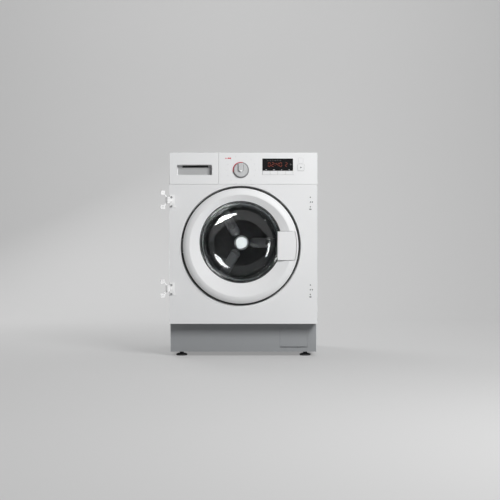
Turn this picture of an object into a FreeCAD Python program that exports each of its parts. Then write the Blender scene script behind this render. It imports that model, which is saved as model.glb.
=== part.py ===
import FreeCAD, Part
import Sketcher
import math
import os
import re

# Integrated washer dryer for a kitchen niche, in millimetres.
# X points right, Y points to the back, Z points up from the floor.

SIZES = {
    # casing
    "cab_width": 596,
    "cab_height": 825,
    "cab_depth": 540,
    "sheet_t": 1,
    "foot_rise": 18,
    "foot_inset": 44,
    "kick_height": 136,
    "kick_depth": 60,
    "front_return": 16,
    "side_flange": 18,
    "bead_depth": 3,
    "frame_x": 15.6,
    "frame_y": 14.3,
    # control band
    "control_height": 127.4,
    "seam": 1,
    "moulding_t": 3,
    "drawer_front_width": 198,
    "knob_x": -9.7,
    "knob_rise": 57,
    "knob_r": 27.8,
    "dial_ring_r": 32.5,
    "display_inset": 221,
    "display_width": 123,
    "display_rise": 54.5,
    "display_height": 48.9,
    "key_height": 16,
    "key_travel": 2,
    "start_inset": 66.5,
    "start_rise": 67.4,
    "start_width": 24,
    "start_height": 26,
    # detergent drawer
    "grip_margin": 30,
    "grip_width": 142,
    "grip_rise": 36.4,
    "grip_height": 42,
    "grip_depth": 22,
    "tray_length": 235,
    "tray_wall": 2,
    # door
    "axis_x": -10.5,
    "door_z": 449.5,
    "drum_z": 465,
    "dish_r": 240,
    "dish_depth": 18,
    "lip_r": 5,
    "port_r": 184,
    "door_gap": 2.5,
    "frame_rear": 8,
    "trim_step": 5.75,
    "trim_back": 3,
    "trim_front": 26,
    "shoulder_width": 26.75,
    "window_r": 165.5,
    "funnel_depth": 12,
    "glass_lap": 6.5,
    "glass_t": 4,
    "bowl_inset": 15.5,
    "bowl_taper": 28,
    "bowl_depth": 100,
    "hinge_tuck": 1.75,
    "handle_left": 137,
    "handle_half": 58,
    "handle_edge": 8.75,
    "handle_pivot_x": 204,
    "hook_x": 206,
    # tub and drum
    "drum_gap": 20,
    "drum_t": 1.2,
    "drum_front": 120,
    "drum_rear_gap": 17,
    "mouth_r": 152,
    "tub_side_gap": 43,
    "tub_top_gap": 105,
    "tub_wall": 4,
    "tub_front_gap": 92,
    "tub_split": 230,
    "tub_length": 320,
    "neck_r": 178,
    "shaft_r": 12.5,
    "heater_gap": 14,
    "pulley_r": 140,
    "pulley_width": 18,
    "pulley_gap": 36,
    "motor_x": 55,
    "motor_z": 122,
    "motor_r": 62,
    "motor_pulley_r": 11.2,
    "belt_t": 4,
    "motor_tuck": 122,
    "motor_length": 138,
    "damper_offset": 165,
    "damper_y": -10,
    "damper_r": 18,
    "rod_r": 7,
    "spring_tuck": 5,
    "spring_drop": 55,
    "spring_y": 55,
    "spring_r": 13,
    "spring_wire": 1.8,
    "spring_turns": 9,
    # drying unit
    "fan_x": 90,
    "fan_back": 8,
    "fan_r": 50,
    "duct_length": 220,
    "duct_height": 52,
    "duct_wall": 4,
    # services on the rear panel
    "inlet_inset": 83,
    "inlet_drop": 57,
    "inlet_r": 13.2,
    "cable_inset": 83,
    "cable_drop": 55,
    "cable_r": 9,
    # drain
    "pump_inset": 93,
    "pump_z": 76,
    "filter_r": 26,
    "outlet_offset": 45,
    "outlet_r": 10,
    # furniture door hinges
    "hinge_high": 626,
    "hinge_pitch": 353,
    "hinge_lift": 7,
    "hinge_screw_inset": 9,
    "hinge_pivot_gap": 3,
    "knuckle_r": 9,
    "hinge_pivot_out": 26,
    "hinge_open": 129,
    "hole_inset": 28,
    "hole_half": 19,
    "screw_r": 2.2,
}

# Named places that follow from the sizes.
PLACES = {
    "front_y": "-cab_depth / 2",
    "back_y": "cab_depth / 2",
    "left_x": "-cab_width / 2",
    "right_x": "cab_width / 2",
    "inner_x": "cab_width / 2 - sheet_t",
    "top_z": "cab_height - sheet_t",
    "band_low": "cab_height - control_height",
    "panel_top": "cab_height - control_height - seam",
    "drawer_right": "left_x + drawer_front_width - seam / 2",
    "fascia_left": "left_x + drawer_front_width + seam / 2",
    "floor_y": "front_y + dish_depth",
    "knob_z": "band_low + knob_rise",
    "display_left": "right_x - display_inset",
    "display_low": "band_low + display_rise",
    "display_high": "display_low + display_height",
    "start_x": "right_x - start_inset",
    "start_z": "band_low + start_rise",
    "grip_left": "left_x + grip_margin",
    "grip_right": "grip_left + grip_width",
    "grip_low": "band_low + grip_rise",
    "grip_high": "grip_low + grip_height",
    "frame_r": "dish_r - door_gap",
    "trim_r": "frame_r - trim_step",
    "ridge_r": "trim_r - shoulder_width",
    "handle_r": "trim_r - handle_edge",
    "glass_r": "window_r + glass_lap",
    "bowl_r": "window_r - bowl_inset",
    "bowl_end_r": "bowl_r - bowl_taper",
    "tub_r": "min(cab_width / 2 - tub_side_gap; cab_height - drum_z - tub_top_gap)",
    "drum_r": "tub_r - drum_gap",
    "fascia_back": "front_y + front_return",
    "drawer_back": "front_y + front_return - seam / 2",
    "tub_face": "front_y + tub_front_gap",
    "tub_joint": "front_y + tub_split",
    "tub_back": "tub_face + tub_length",
    "drum_face": "front_y + drum_front",
    "drum_back": "tub_back - drum_rear_gap",
    "pulley_y": "tub_back + pulley_gap",
    "key_width": "display_width / 4",
    "hinge_x": "axis_x - trim_r + hinge_tuck",
    "hinge_y": "front_y - 3",
    "handle_pivot_y": "front_y - 12",
    "hook_y": "front_y + 2.5",
    "kick_y": "front_y + kick_depth",
    "duct_z": "drum_z + tub_r + 22",
    "spring_low": "drum_z + 170",
    "spring_high": "cab_height - spring_drop",
    "spring_x": "tub_r - spring_tuck",
    "motor_front": "tub_back - motor_tuck",
    "motor_back": "motor_front + motor_length",
    "fan_y": "tub_back + fan_back",
    "duct_front": "fan_y - 40 - duct_length",
    "heater_z": "drum_z - tub_r + heater_gap",
    "foot_x": "right_x - foot_inset",
    "inlet_x": "left_x + inlet_inset",
    "inlet_z": "cab_height - inlet_drop",
    "cable_x": "right_x - cable_inset",
    "cable_z": "cab_height - cable_drop",
    "pump_x": "right_x - pump_inset",
    "hinge_pivot_x": "left_x - hinge_pivot_gap",
    "hole_x": "right_x - hole_inset",
    "hinge_screw_x": "left_x + hinge_screw_inset",
    "dispenser_back": "front_y + grip_depth + tray_length + 12",
}

doc = FreeCAD.newDocument("integrated_washer_dryer")
dims = doc.addObject("Spreadsheet::Sheet", "dims")
for row, (alias, number) in enumerate(SIZES.items(), 1):
    dims.set(f"A{row}", alias)
    dims.set(f"B{row}", str(number))
    dims.setAlias(f"B{row}", alias)
doc.recompute()

NODES = []
WORD = re.compile(r"[a-z][a-z0-9_]*")


# Expressions: place names open out into sizes, and sizes read the sheet.
def expand(text):
    def swap(found):
        name = found.group(0)
        if name in PLACES:
            return "(" + expand(PLACES[name]) + ")"
        return "dims." + name if name in SIZES else name

    return WORD.sub(swap, str(text))


def value(text):
    return float(dims.evalExpression(expand(text)))


def bind(item, prop, text):
    item.setExpression(prop, expand(text))


def node(item, label):
    item.Label = label
    bind(item, "Placement.Base.x", "frame_x")
    bind(item, "Placement.Base.y", "frame_y")
    NODES.append(item)
    return item


# Sketches: outlines are lists of (x, y) or (x, y, radius of the arc to the next point); circles are tuples.
def rect(x0, y0, x1, y1):
    return [(x0, y0), (x1, y0), (x1, y1), (x0, y1)]


def rounded(x0, y0, x1, y1, r):
    low_x, high_x = f"({x0}) + ({r})", f"({x1}) - ({r})"
    low_y, high_y = f"({y0}) + ({r})", f"({y1}) - ({r})"
    return [(low_x, y0), (high_x, y0, r), (x1, low_y), (x1, high_y, r),
            (high_x, y1), (low_x, y1, r), (x0, high_y), (x0, low_y, r)]


def pin_down(sketch, kind, geo, spot, text):
    rule = Sketcher.Constraint(kind, -1, 1, geo, spot, value(text))
    bind(sketch, f"Constraints[{sketch.addConstraint(rule)}]", text)


def draw_circle(sketch, circle):
    x, y, r = circle
    centre = FreeCAD.Vector(value(x), value(y), 0)
    geo = sketch.addGeometry(Part.Circle(centre, FreeCAD.Vector(0, 0, 1), value(r)))
    pin_down(sketch, "DistanceX", geo, 3, x)
    pin_down(sketch, "DistanceY", geo, 3, y)
    rule = sketch.addConstraint(Sketcher.Constraint("Radius", geo, value(r)))
    bind(sketch, f"Constraints[{rule}]", r)


def draw_loop(sketch, outline):
    corners = [FreeCAD.Vector(value(p[0]), value(p[1]), 0) for p in outline]
    ends = []
    for i, point in enumerate(outline):
        a, b = corners[i], corners[(i + 1) % len(corners)]
        if len(point) == 2:
            ends.append((sketch.addGeometry(Part.LineSegment(a, b)), 1, 2))
            continue
        r = value(point[2])
        half = (b - a) / 2
        rise = math.sqrt(max(r * r - half.Length ** 2, 0)) * (1 if r > 0 else -1)
        side = FreeCAD.Vector(-half.y, half.x, 0).normalize()
        centre = a + half + side * rise
        start, stop = (a, b) if r > 0 else (b, a)
        angles = [math.atan2(p.y - centre.y, p.x - centre.x) for p in (start, stop)]
        ring = Part.Circle(centre, FreeCAD.Vector(0, 0, 1), abs(r))
        geo = sketch.addGeometry(Part.ArcOfCircle(ring, *angles))
        ends.append((geo, 1, 2) if r > 0 else (geo, 2, 1))
    for i, (geo, _, last) in enumerate(ends):
        after, first, _ = ends[(i + 1) % len(ends)]
        sketch.addConstraint(Sketcher.Constraint("Coincident", geo, last, after, first))
    for (geo, first, _), point in zip(ends, outline):
        pin_down(sketch, "DistanceX", geo, first, point[0])
        pin_down(sketch, "DistanceY", geo, first, point[1])
        if len(point) == 3:
            rule = sketch.addConstraint(Sketcher.Constraint("Radius", geo, abs(value(point[2]))))
            bind(sketch, f"Constraints[{rule}]", f"abs({point[2]})")


def new_body(label):
    return node(doc.addObject("PartDesign::Body", label), label)


def new_sketch(body, role, shapes, offset):
    sketch = body.newObject("Sketcher::SketchObject", body.Name + "_sketch")
    plane = next(f for f in body.Origin.OriginFeatures if f.Role == role)
    sketch.AttachmentSupport = [(plane, "")]
    sketch.MapMode = "FlatFace"
    for axis, text in zip("xyz", offset):
        bind(sketch, f"AttachmentOffset.Base.{axis}", text)
    for shape in shapes:
        if isinstance(shape, tuple):
            draw_circle(sketch, shape)
        else:
            draw_loop(sketch, shape)
    return sketch


def feature(body, kind, sketch, length):
    item = body.newObject("PartDesign::" + kind, body.Name + "_" + kind.lower())
    item.Profile = sketch
    if length is not None:
        bind(item, "Length", length)
    sketch.Visibility = False
    return item


# Pads and pockets between two planes; at gives the sketch's origin in the plane.
def pad_y(body, shapes, y0, y1, at=("0", "0")):
    sketch = new_sketch(body, "XZ_Plane", shapes, (at[0], at[1], f"-({y1})"))
    return feature(body, "Pad", sketch, f"({y1}) - ({y0})")


def pocket_y(body, shapes, y0, y1, at=("0", "0")):
    sketch = new_sketch(body, "XZ_Plane", shapes, (at[0], at[1], f"-({y0})"))
    return feature(body, "Pocket", sketch, f"({y1}) - ({y0})")


def pad_z(body, shapes, z0, z1, at=("0", "0")):
    sketch = new_sketch(body, "XY_Plane", shapes, (at[0], at[1], z0))
    return feature(body, "Pad", sketch, f"({z1}) - ({z0})")


def pocket_z(body, shapes, z0, z1, at=("0", "0")):
    sketch = new_sketch(body, "XY_Plane", shapes, (at[0], at[1], z1))
    return feature(body, "Pocket", sketch, f"({z1}) - ({z0})")


def pad_x(body, shapes, x0, x1, at=("0", "0")):
    sketch = new_sketch(body, "YZ_Plane", shapes, (at[0], at[1], x0))
    return feature(body, "Pad", sketch, f"({x1}) - ({x0})")


def pocket_x(body, shapes, x0, x1, at=("0", "0")):
    sketch = new_sketch(body, "YZ_Plane", shapes, (at[0], at[1], x1))
    return feature(body, "Pocket", sketch, f"({x1}) - ({x0})")


# Turned forms about a line along Y through (x, z), with (y, radius) outlines.
def turn_y(body, shapes, x, z, kind="Revolution"):
    sketch = new_sketch(body, "YZ_Plane", shapes, ("0", z, x))
    item = feature(body, kind, sketch, None)
    item.ReferenceAxis = (sketch, ["H_Axis"])
    item.Angle = 360
    return item


# Turned forms about a line along Z through (x, y), with (radius, z) outlines.
def turn_z(body, shapes, x, y, kind="Revolution"):
    sketch = new_sketch(body, "XZ_Plane", shapes, (x, "0", f"-({y})"))
    item = feature(body, kind, sketch, None)
    item.ReferenceAxis = (sketch, ["V_Axis"])
    item.Angle = 360
    return item


def around(body, item, count):
    ring = body.newObject("PartDesign::PolarPattern", body.Name + "_ring")
    ring.Originals = [item]
    ring.Axis = (item.Profile[0], ["N_Axis"])
    ring.Angle = 360
    ring.Occurrences = count
    body.Tip = ring
    return ring


def soften(body, radius, wanted):
    doc.recompute()
    base = body.Tip
    names = [f"Edge{i}" for i, edge in enumerate(base.Shape.Edges, 1) if wanted(edge)]
    item = body.newObject("PartDesign::Fillet", body.Name + "_fillet")
    item.Base = (base, names)
    bind(item, "Radius", radius)
    body.Tip = item
    return item


# Edges that lie wholly on a plane y = text.
def on_y(text):
    level = value(text)
    return lambda e: abs(e.BoundBox.YMin - level) < 0.01 and abs(e.BoundBox.YMax - level) < 0.01


# Primitives and booleans.
def block(x0, x1, y0, y1, z0, z1):
    item = doc.addObject("Part::Box", "block")
    for prop, low, high in (("Length", x0, x1), ("Width", y0, y1), ("Height", z0, z1)):
        bind(item, prop, f"({high}) - ({low})")
    for axis, text in zip("xyz", (x0, y0, z0)):
        bind(item, f"Placement.Base.{axis}", text)
    return item


def cylinder(r, length, turn, spot):
    item = doc.addObject("Part::Cylinder", "cylinder")
    item.Placement.Rotation = turn
    bind(item, "Radius", r)
    bind(item, "Height", length)
    for axis, text in zip("xyz", spot):
        bind(item, f"Placement.Base.{axis}", text)
    return item


def rod_x(x0, x1, y, z, r):
    turn = FreeCAD.Rotation(FreeCAD.Vector(0, 1, 0), 90)
    return cylinder(r, f"({x1}) - ({x0})", turn, (x0, y, z))


def rod_y(y0, y1, x, z, r):
    turn = FreeCAD.Rotation(FreeCAD.Vector(1, 0, 0), -90)
    return cylinder(r, f"({y1}) - ({y0})", turn, (x, y0, z))


def rod_z(z0, z1, x, y, r):
    return cylinder(r, f"({z1}) - ({z0})", FreeCAD.Rotation(), (x, y, z0))


def fuse(items):
    item = doc.addObject("Part::MultiFuse", "fused")
    item.Shapes = items
    item.Refine = True
    return item


def cut(base, tools):
    item = doc.addObject("Part::Cut", "cut")
    item.Base = base
    item.Tool = tools[0] if len(tools) == 1 else fuse(tools)
    item.Refine = True
    return item


def group(items):
    item = doc.addObject("Part::Compound", "group")
    item.Links = items
    return item


# Front panel: flat sheet, rolled dish for the door, porthole collar, folded edges and hinge holes.
front_panel = new_body("front_panel")
pad_y(front_panel, [rect("left_x", "kick_height", "right_x", "panel_top"),
                    ("axis_x", "door_z", "dish_r + lip_r")], "front_y", "front_y + sheet_t")
turn_y(front_panel, [[
    ("front_y", "dish_r + lip_r", "lip_r"),
    ("front_y + lip_r", "dish_r"),
    ("floor_y", "dish_r"),
    ("floor_y", "0"),
    ("floor_y + sheet_t", "0"),
    ("floor_y + sheet_t", "dish_r + sheet_t"),
    ("front_y + lip_r", "dish_r + sheet_t", "-(lip_r - sheet_t)"),
    ("front_y + sheet_t", "dish_r + lip_r"),
]], "axis_x", "door_z")
turn_y(front_panel, [rect("floor_y", "port_r - 10", "floor_y + 14", "port_r + sheet_t")], "axis_x", "drum_z")
pocket_y(front_panel, [("axis_x", "drum_z", "port_r")], "floor_y - 1", "floor_y + 20")
pad_y(front_panel, [[
    ("left_x", "kick_height"), ("right_x", "kick_height"), ("right_x", "panel_top"),
    ("inner_x", "panel_top"), ("inner_x", "kick_height + sheet_t"),
    ("-inner_x", "kick_height + sheet_t"), ("-inner_x", "panel_top"), ("left_x", "panel_top"),
]], "front_y + sheet_t / 2", "front_y + front_return")
pocket_y(front_panel, [rounded("hook_x - 13", "door_z - 15", "hook_x + 17", "door_z + 15", "4")],
         "floor_y - 1", "floor_y + 2")
for level in ("hinge_high", "hinge_high - hinge_pitch"):
    pocket_y(front_panel, [
        ("hole_x", f"{level} + hole_half", "screw_r + 0.2"), ("hole_x", level, "screw_r + 0.2"),
        ("hole_x + 8", level, "screw_r + 0.2"), ("hole_x", f"{level} - hole_half", "screw_r + 0.2"),
        rounded("hole_x - 4.5", f"{level} - hole_half - 12", "hole_x + 4.5", f"{level} - hole_half - 8",
                "1.9"),
        ("hinge_screw_x", f"{level} + hole_half", "screw_r + 0.2"),
        ("hinge_screw_x", f"{level} - hole_half + 2", "screw_r + 0.2"),
    ], "front_y - 1", "front_y + 3")

# Side panels: L-shaped sheets with folded flanges, two pressed beads and a spring hanger.
for label, hand in (("side_panel_left", -1), ("side_panel_right", 1)):
    side = new_body(label)

    def span(near, far):
        near, far = f"inner_x + sheet_t - ({near})", f"inner_x + sheet_t - ({far})"
        return (far, near) if hand > 0 else (f"-({near})", f"-({far})")

    pad_x(side, [[
        ("kick_y", "foot_rise"), ("back_y - sheet_t", "foot_rise"), ("back_y - sheet_t", "top_z"),
        ("front_y + front_return", "top_z"), ("front_y + front_return", "kick_height"),
        ("kick_y", "kick_height"),
    ]], *span("0", "sheet_t"))
    pad_x(side, [
        rect("front_y + front_return", "kick_height + 6", "front_y + front_return + sheet_t", "panel_top"),
        rect("back_y - 2 * sheet_t", "foot_rise + 32", "back_y - sheet_t", "top_z - 2 * sheet_t"),
        rect("front_y + front_return", "top_z - sheet_t", "back_y - sheet_t", "top_z"),
    ], *span("sheet_t / 2", "side_flange"))
    pad_x(side, [rect("spring_y - 15", "spring_high", "spring_y + 15", "spring_high + 3")],
          *span("sheet_t / 2", "right_x - spring_x + 14"))
    beads = ("-150", "150")
    pad_x(side, [rounded(f"{y} - 22", "drum_z - 190", f"{y} + 22", "drum_z + 190", "21.9") for y in beads],
          *span("sheet_t / 2", "sheet_t + bead_depth"))
    outer = [rounded(f"{y} - 20", "drum_z - 188", f"{y} + 20", "drum_z + 188", "19.9") for y in beads]
    pocket_x(side, outer, *span("-1", "bead_depth"))

# Rear panel with its service opening, and the dished cover over it.
rear_panel = new_body("rear_panel")
pad_y(rear_panel, [rect("left_x", "foot_rise", "right_x", "top_z")], "back_y - sheet_t", "back_y")
pocket_y(rear_panel, [
    ("axis_x", "drum_z", "pulley_r + 40"), ("inlet_x", "inlet_z", "inlet_r + 0.8"),
    ("pump_x + outlet_offset", "pump_z", "outlet_r + 2"), ("cable_x", "cable_z", "cable_r"),
], "back_y - 2", "back_y + 1")
rear_cover = new_body("rear_cover")
turn_y(rear_cover, [[
    ("back_y", "pulley_r + 54"), ("back_y", "pulley_r + 30"), ("back_y + 8", "pulley_r + 20"),
    ("back_y + 8", "0"),
    ("back_y + 9", "0"), ("back_y + 9", "pulley_r + 20.5"), ("back_y + 1", "pulley_r + 30.5"),
    ("back_y + 1", "pulley_r + 54"),
]], "axis_x", "drum_z")
louvre = pocket_y(rear_cover, [rounded("55", "-4", "115", "4", "3.9")], "back_y + 7", "back_y + 10",
                  ("axis_x", "drum_z"))
around(rear_cover, louvre, 12)

# Top cover with two pressed stiffening beads.
top_cover = new_body("top_cover")
pad_z(top_cover, [rect("left_x", "front_y + front_return", "right_x", "back_y")], "top_z", "cab_height")
bars = ("-130", "130")
pad_z(top_cover, [rounded("left_x + 78", f"{y} - 14", "right_x - 78", f"{y} + 14", "13.9") for y in bars],
      "top_z - bead_depth", "top_z + sheet_t / 2")
pocket_z(top_cover, [rounded("left_x + 80", f"{y} - 12", "right_x - 80", f"{y} + 12", "11.9") for y in bars],
         "cab_height - bead_depth", "cab_height + 1")

# Base tray: floor, rim, kick front with the filter opening, shelf under the front panel and foot bosses.
FEET = {
    "foot_front_left": ("-foot_x", "kick_y + 36"), "foot_front_right": ("foot_x", "kick_y + 36"),
    "foot_rear_left": ("-foot_x", "back_y - 36"), "foot_rear_right": ("foot_x", "back_y - 36"),
}
base_tray = new_body("base_tray")
pad_z(base_tray, [rect("-inner_x", "kick_y", "inner_x", "back_y - 2 * sheet_t")], "foot_rise",
      "foot_rise + 28")
pocket_z(base_tray, [rect("-inner_x + 3", "kick_y + 3", "inner_x - 3", "back_y - 2 * sheet_t - 3")],
         "foot_rise + 3", "foot_rise + 30")
pad_y(base_tray, [rect("-inner_x", "foot_rise + 2", "inner_x", "kick_height + 4")], "kick_y", "kick_y + 3")
pad_z(base_tray, [rect("-inner_x", "front_y + 2", "inner_x", "kick_y + 3")],
      "kick_height + sheet_t", "kick_height + 4")
pad_z(base_tray, [(x, y, "16") for x, y in FEET.values()], "foot_rise + 2", "foot_rise + 28")
pocket_z(base_tray, [(x, y, "5.3") for x, y in FEET.values()], "foot_rise - 1", "foot_rise + 30")
pad_y(base_tray, [rect("pump_x - 64", "foot_rise + 10", "pump_x - 48", "foot_rise + 32"),
                  rect("pump_x + 48", "foot_rise + 10", "pump_x + 64", "foot_rise + 32")], "kick_y + 1",
                  "kick_y + 10")
pocket_y(base_tray, [rect("pump_x - 56", "foot_rise + 17", "pump_x + 56", "pump_z + 38")], "kick_y - 1",
         "kick_y + 12")
pocket_x(base_tray, [("kick_y + 5", "foot_rise + 23.5", "1.55")], "pump_x - 61", "pump_x + 61")
pad_z(base_tray, [rect("pump_x - 26", "kick_y + 40", "pump_x + 26", "kick_y + 90")],
      "foot_rise + 2", "pump_z - filter_r - 5.2")

# Levelling feet: ribbed pad, hexagon and threaded spindle.
for label, (x, y) in FEET.items():
    foot = new_body(label)
    turn_z(foot, [[("0", "0"), ("22", "0"), ("23", "1.5"), ("23", "6"), ("16", "9"), ("5", "9"),
                   ("5", "foot_rise + 36"), ("0", "foot_rise + 38")]], x, y)
    hexagon = [(f"{9.8 * math.cos(math.radians(a)):.4f}", f"{9.8 * math.sin(math.radians(a)):.4f}")
               for a in range(0, 360, 60)]
    pad_z(foot, [hexagon], "8", "15", (x, y))

# Control fascia: moulded shell with openings for the knob, display, keys and start button.
fascia = new_body("control_fascia")
pad_y(fascia, [rect("fascia_left", "band_low", "right_x", "cab_height")], "front_y", "fascia_back")
soften(fascia, "1.5", on_y("front_y"))
pocket_y(fascia, [rect("fascia_left + moulding_t", "band_low + moulding_t", "right_x - moulding_t",
                       "cab_height - moulding_t")], "front_y + moulding_t", "fascia_back + 1")
pocket_y(fascia, [
    ("knob_x", "knob_z", "4"),
    rect("display_left - 0.4", "display_low - key_height - 1.2", "display_left + display_width + 0.4",
         "display_high + 0.4"),
    rounded("start_x - start_width / 2 - 0.4", "start_z - start_height / 2 - 0.4",
            "start_x + start_width / 2 + 0.4", "start_z + start_height / 2 + 0.4", "4.4"),
], "front_y - 1", "front_y + moulding_t + 1")

# Display window with softened edges.
window = new_body("display_window")
pad_y(window, [rect("display_left", "display_low", "display_left + display_width", "display_high")],
      "front_y - 0.4", "front_y + 3")
soften(window, "0.6", on_y("front_y - 0.4"))

# Control board behind the fascia: carrier plate, display block, encoder and switch blocks.
board = new_body("control_board")
pad_y(board, [rect("fascia_left + 1", "band_low + 1", "right_x - 2", "cab_height - 3")],
      "fascia_back", "fascia_back + 3")
pad_y(board, [rect("display_left + 3", "display_low + 3", "display_left + display_width - 3",
                   "display_high - 3")],
      "front_y + 3", "fascia_back + 1")
pad_y(board, [("knob_x", "knob_z", "9")], "front_y + 5", "fascia_back + 1")
pocket_y(board, [("knob_x", "knob_z", "3.05")], "front_y + 4", "fascia_back + 2")
pad_y(board, [rect("display_left + 4", "display_low - key_height + 1", "display_left + display_width - 4",
                   "display_low - 4"),
              rect("start_x - 6", "start_z - 6", "start_x + 6", "start_z + 6")],
      "front_y + 8 + key_travel + 0.5", "fascia_back + 1")

# Dial ring and program knob with its raised grip bar.
dial_ring = new_body("dial_ring")
turn_y(dial_ring, [[("front_y", "knob_r + 0.4"), ("front_y", "dial_ring_r"), ("front_y - 2", "dial_ring_r"),
                    ("front_y - 3.5", "dial_ring_r - 1.5"), ("front_y - 3.5", "knob_r + 0.4")]], "knob_x",
                    "knob_z")
knob = new_body("program_knob")
turn_y(knob, [[("front_y + 13", "0"), ("front_y + 13", "3"), ("front_y - 0.6", "3"),
               ("front_y - 0.6", "knob_r"),
               ("front_y - 7", "knob_r"), ("front_y - 9", "knob_r - 2"), ("front_y - 9", "0")]], "knob_x",
               "knob_z")
pad_y(knob, [[("-9.5", "-4"), ("9.5", "-4"), ("9.5", "sqrt(knob_r^2 - 9.5^2) - 1.5", "knob_r - 1.5"),
              ("-9.5", "sqrt(knob_r^2 - 9.5^2) - 1.5")]], "front_y - 16", "front_y - 8", ("knob_x", "knob_z"))
soften(knob, "1.2", on_y("front_y - 16"))

# Option keys under the display, and the start button.
for number in range(4):
    key = new_body(f"option_key_{number + 1}")
    left = f"display_left + {number} * key_width"
    pad_y(key, [rect(f"{left} + 0.3", "display_low - key_height - 0.7", f"{left} + key_width - 0.3",
                     "display_low - 0.5")], "front_y - 1.2", "front_y + 8")
    soften(key, "0.9", on_y("front_y - 1.2"))
start = new_body("start_button")
pad_y(start, [rounded("start_x - start_width / 2", "start_z - start_height / 2", "start_x + start_width / 2",
                      "start_z + start_height / 2", "4")], "front_y - 1.6", "front_y + 8")
soften(start, "1", on_y("front_y - 1.6"))

# Detergent drawer front: shell, scooped grip bucket and the slot along its top.
drawer_front = new_body("drawer_front")
pad_y(drawer_front, [rect("left_x", "band_low", "drawer_right", "cab_height")], "front_y",
      "drawer_back")
soften(drawer_front, "1.5", on_y("front_y"))
pocket_y(drawer_front, [rect("left_x + moulding_t", "band_low + moulding_t", "drawer_right - moulding_t",
                             "cab_height - moulding_t")], "front_y + moulding_t",
                             "drawer_back + 1")
pad_y(drawer_front, [rounded("grip_left - 3", "grip_low - 3", "grip_right + 3", "grip_high + 3", "9")],
      "front_y + 1", "front_y + grip_depth + 3")
pocket_y(drawer_front, [rounded("grip_left", "grip_low", "grip_right", "grip_high", "6")],
         "front_y - 1", "front_y + grip_depth")
soften(drawer_front, "5.5", on_y("front_y + grip_depth"))
pocket_y(drawer_front, [rect("grip_left + 22", "grip_high - 10", "grip_right - 16", "grip_high - 2")],
         "front_y + grip_depth - 6", "front_y + grip_depth + 4")
soften(drawer_front, "1", on_y("front_y"))

# Drawer tray with three compartments, behind the drawer front.
TRAY = ("left_x + 14", "front_y + grip_depth + 3", "drawer_right - 14",
        "front_y + grip_depth + 3 + tray_length")
tray = new_body("drawer_tray")
pad_z(tray, [rect(*TRAY)], "band_low + 34", "cab_height - 31")
bay = "(drawer_front_width - 28.5 - 4 * tray_wall) / 3"
pocket_z(tray, [rounded(f"{TRAY[0]} + tray_wall + {i} * ({bay} + tray_wall)", f"{TRAY[1]} + tray_wall",
                        f"{TRAY[0]} + {i + 1} * ({bay} + tray_wall)", f"{TRAY[3]} - tray_wall", "8")
                for i in range(3)], "band_low + 34 + tray_wall", "cab_height - 30")
soften(tray, "5", lambda e: abs(e.BoundBox.ZMax - value("band_low + 34 + tray_wall")) < 0.01
       and e.BoundBox.ZLength < 0.01)

# Dispenser housing: open-fronted box with runners for the tray and two lugs on the side panel.
housing = new_body("dispenser_housing")
pad_y(housing, [rect("left_x + 7", "band_low + 28", "drawer_right - 7", "cab_height - 19")],
      "front_y + 18", "dispenser_back")
pocket_y(housing, [rect("left_x + 10", "band_low + 31", "drawer_right - 10", "cab_height - 22")],
         "front_y + 17", "dispenser_back - 3")
pad_y(housing, [rect("left_x + 20", "band_low + 30", "left_x + 26", "band_low + 33.7"),
                rect("drawer_right - 26", "band_low + 30", "drawer_right - 20", "band_low + 33.7")],
      "front_y + 20", "front_y + grip_depth + tray_length")
pad_x(housing, [rect("front_y + 70", "cab_height - 70", "front_y + 90", "cab_height - 45"),
                rect("dispenser_back - 40", "cab_height - 70", "dispenser_back - 20", "cab_height - 45")],
      "-inner_x", "left_x + 8")

# Inlet valve at the back: threaded hose spigot, flange, coil body and the fill pipe to the dispenser.
valve = new_body("inlet_valve")
turn_y(valve, [[
    ("dispenser_back", "0"), ("dispenser_back", "7"), ("back_y - 56", "7"), ("back_y - 56", "16"),
    ("back_y - 8", "16"), ("back_y - 8", "inlet_r + 8.8"), ("back_y - sheet_t", "inlet_r + 8.8"),
    ("back_y - sheet_t", "inlet_r + 0.4"), ("back_y", "inlet_r + 0.4"), ("back_y", "inlet_r"),
    ("back_y + 14", "inlet_r"), ("back_y + 14", "inlet_r - 4.2"), ("back_y - 6", "inlet_r - 4.2"),
    ("back_y - 6", "0"),
]], "inlet_x", "inlet_z")
pad_z(valve, [rect("-14", "-12", "14", "12")], "inlet_z", "inlet_z + 34", ("inlet_x", "back_y - 34"))

# Door trim: turned ring with a rounded shoulder, an off-centre funnel to the window and the handle opening.
trim = new_body("door_trim")
turn_y(trim, [[
    ("front_y - trim_back", "ridge_r - 65"), ("front_y - trim_back", "trim_r"),
    ("front_y - 13", "trim_r", "40"),
    ("front_y - trim_front", "ridge_r + 1"), ("front_y - trim_front", "ridge_r - 65"),
]], "axis_x", "door_z")
wide = new_sketch(trim, "XZ_Plane", [("axis_x", "door_z", "ridge_r - 1")], ("0", "0", "trim_front - front_y"))
narrow = new_sketch(trim, "XZ_Plane", [("axis_x", "drum_z", "window_r")],
                    ("0", "0", "trim_front - funnel_depth - front_y"))
funnel = feature(trim, "SubtractiveLoft", wide, None)
funnel.Sections = [narrow]
pocket_y(trim, [("axis_x", "drum_z", "window_r")], "front_y - trim_front + funnel_depth",
         "front_y - trim_back + 1")


# Outline of the handle about the door's centre, grown all round by a gap.
def handle_outline(left, half, r):
    corner = f"sqrt(({r})^2 - ({half})^2)"
    return [(left, f"-({half})"), (corner, f"-({half})", r), (corner, half), (left, half)]


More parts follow.
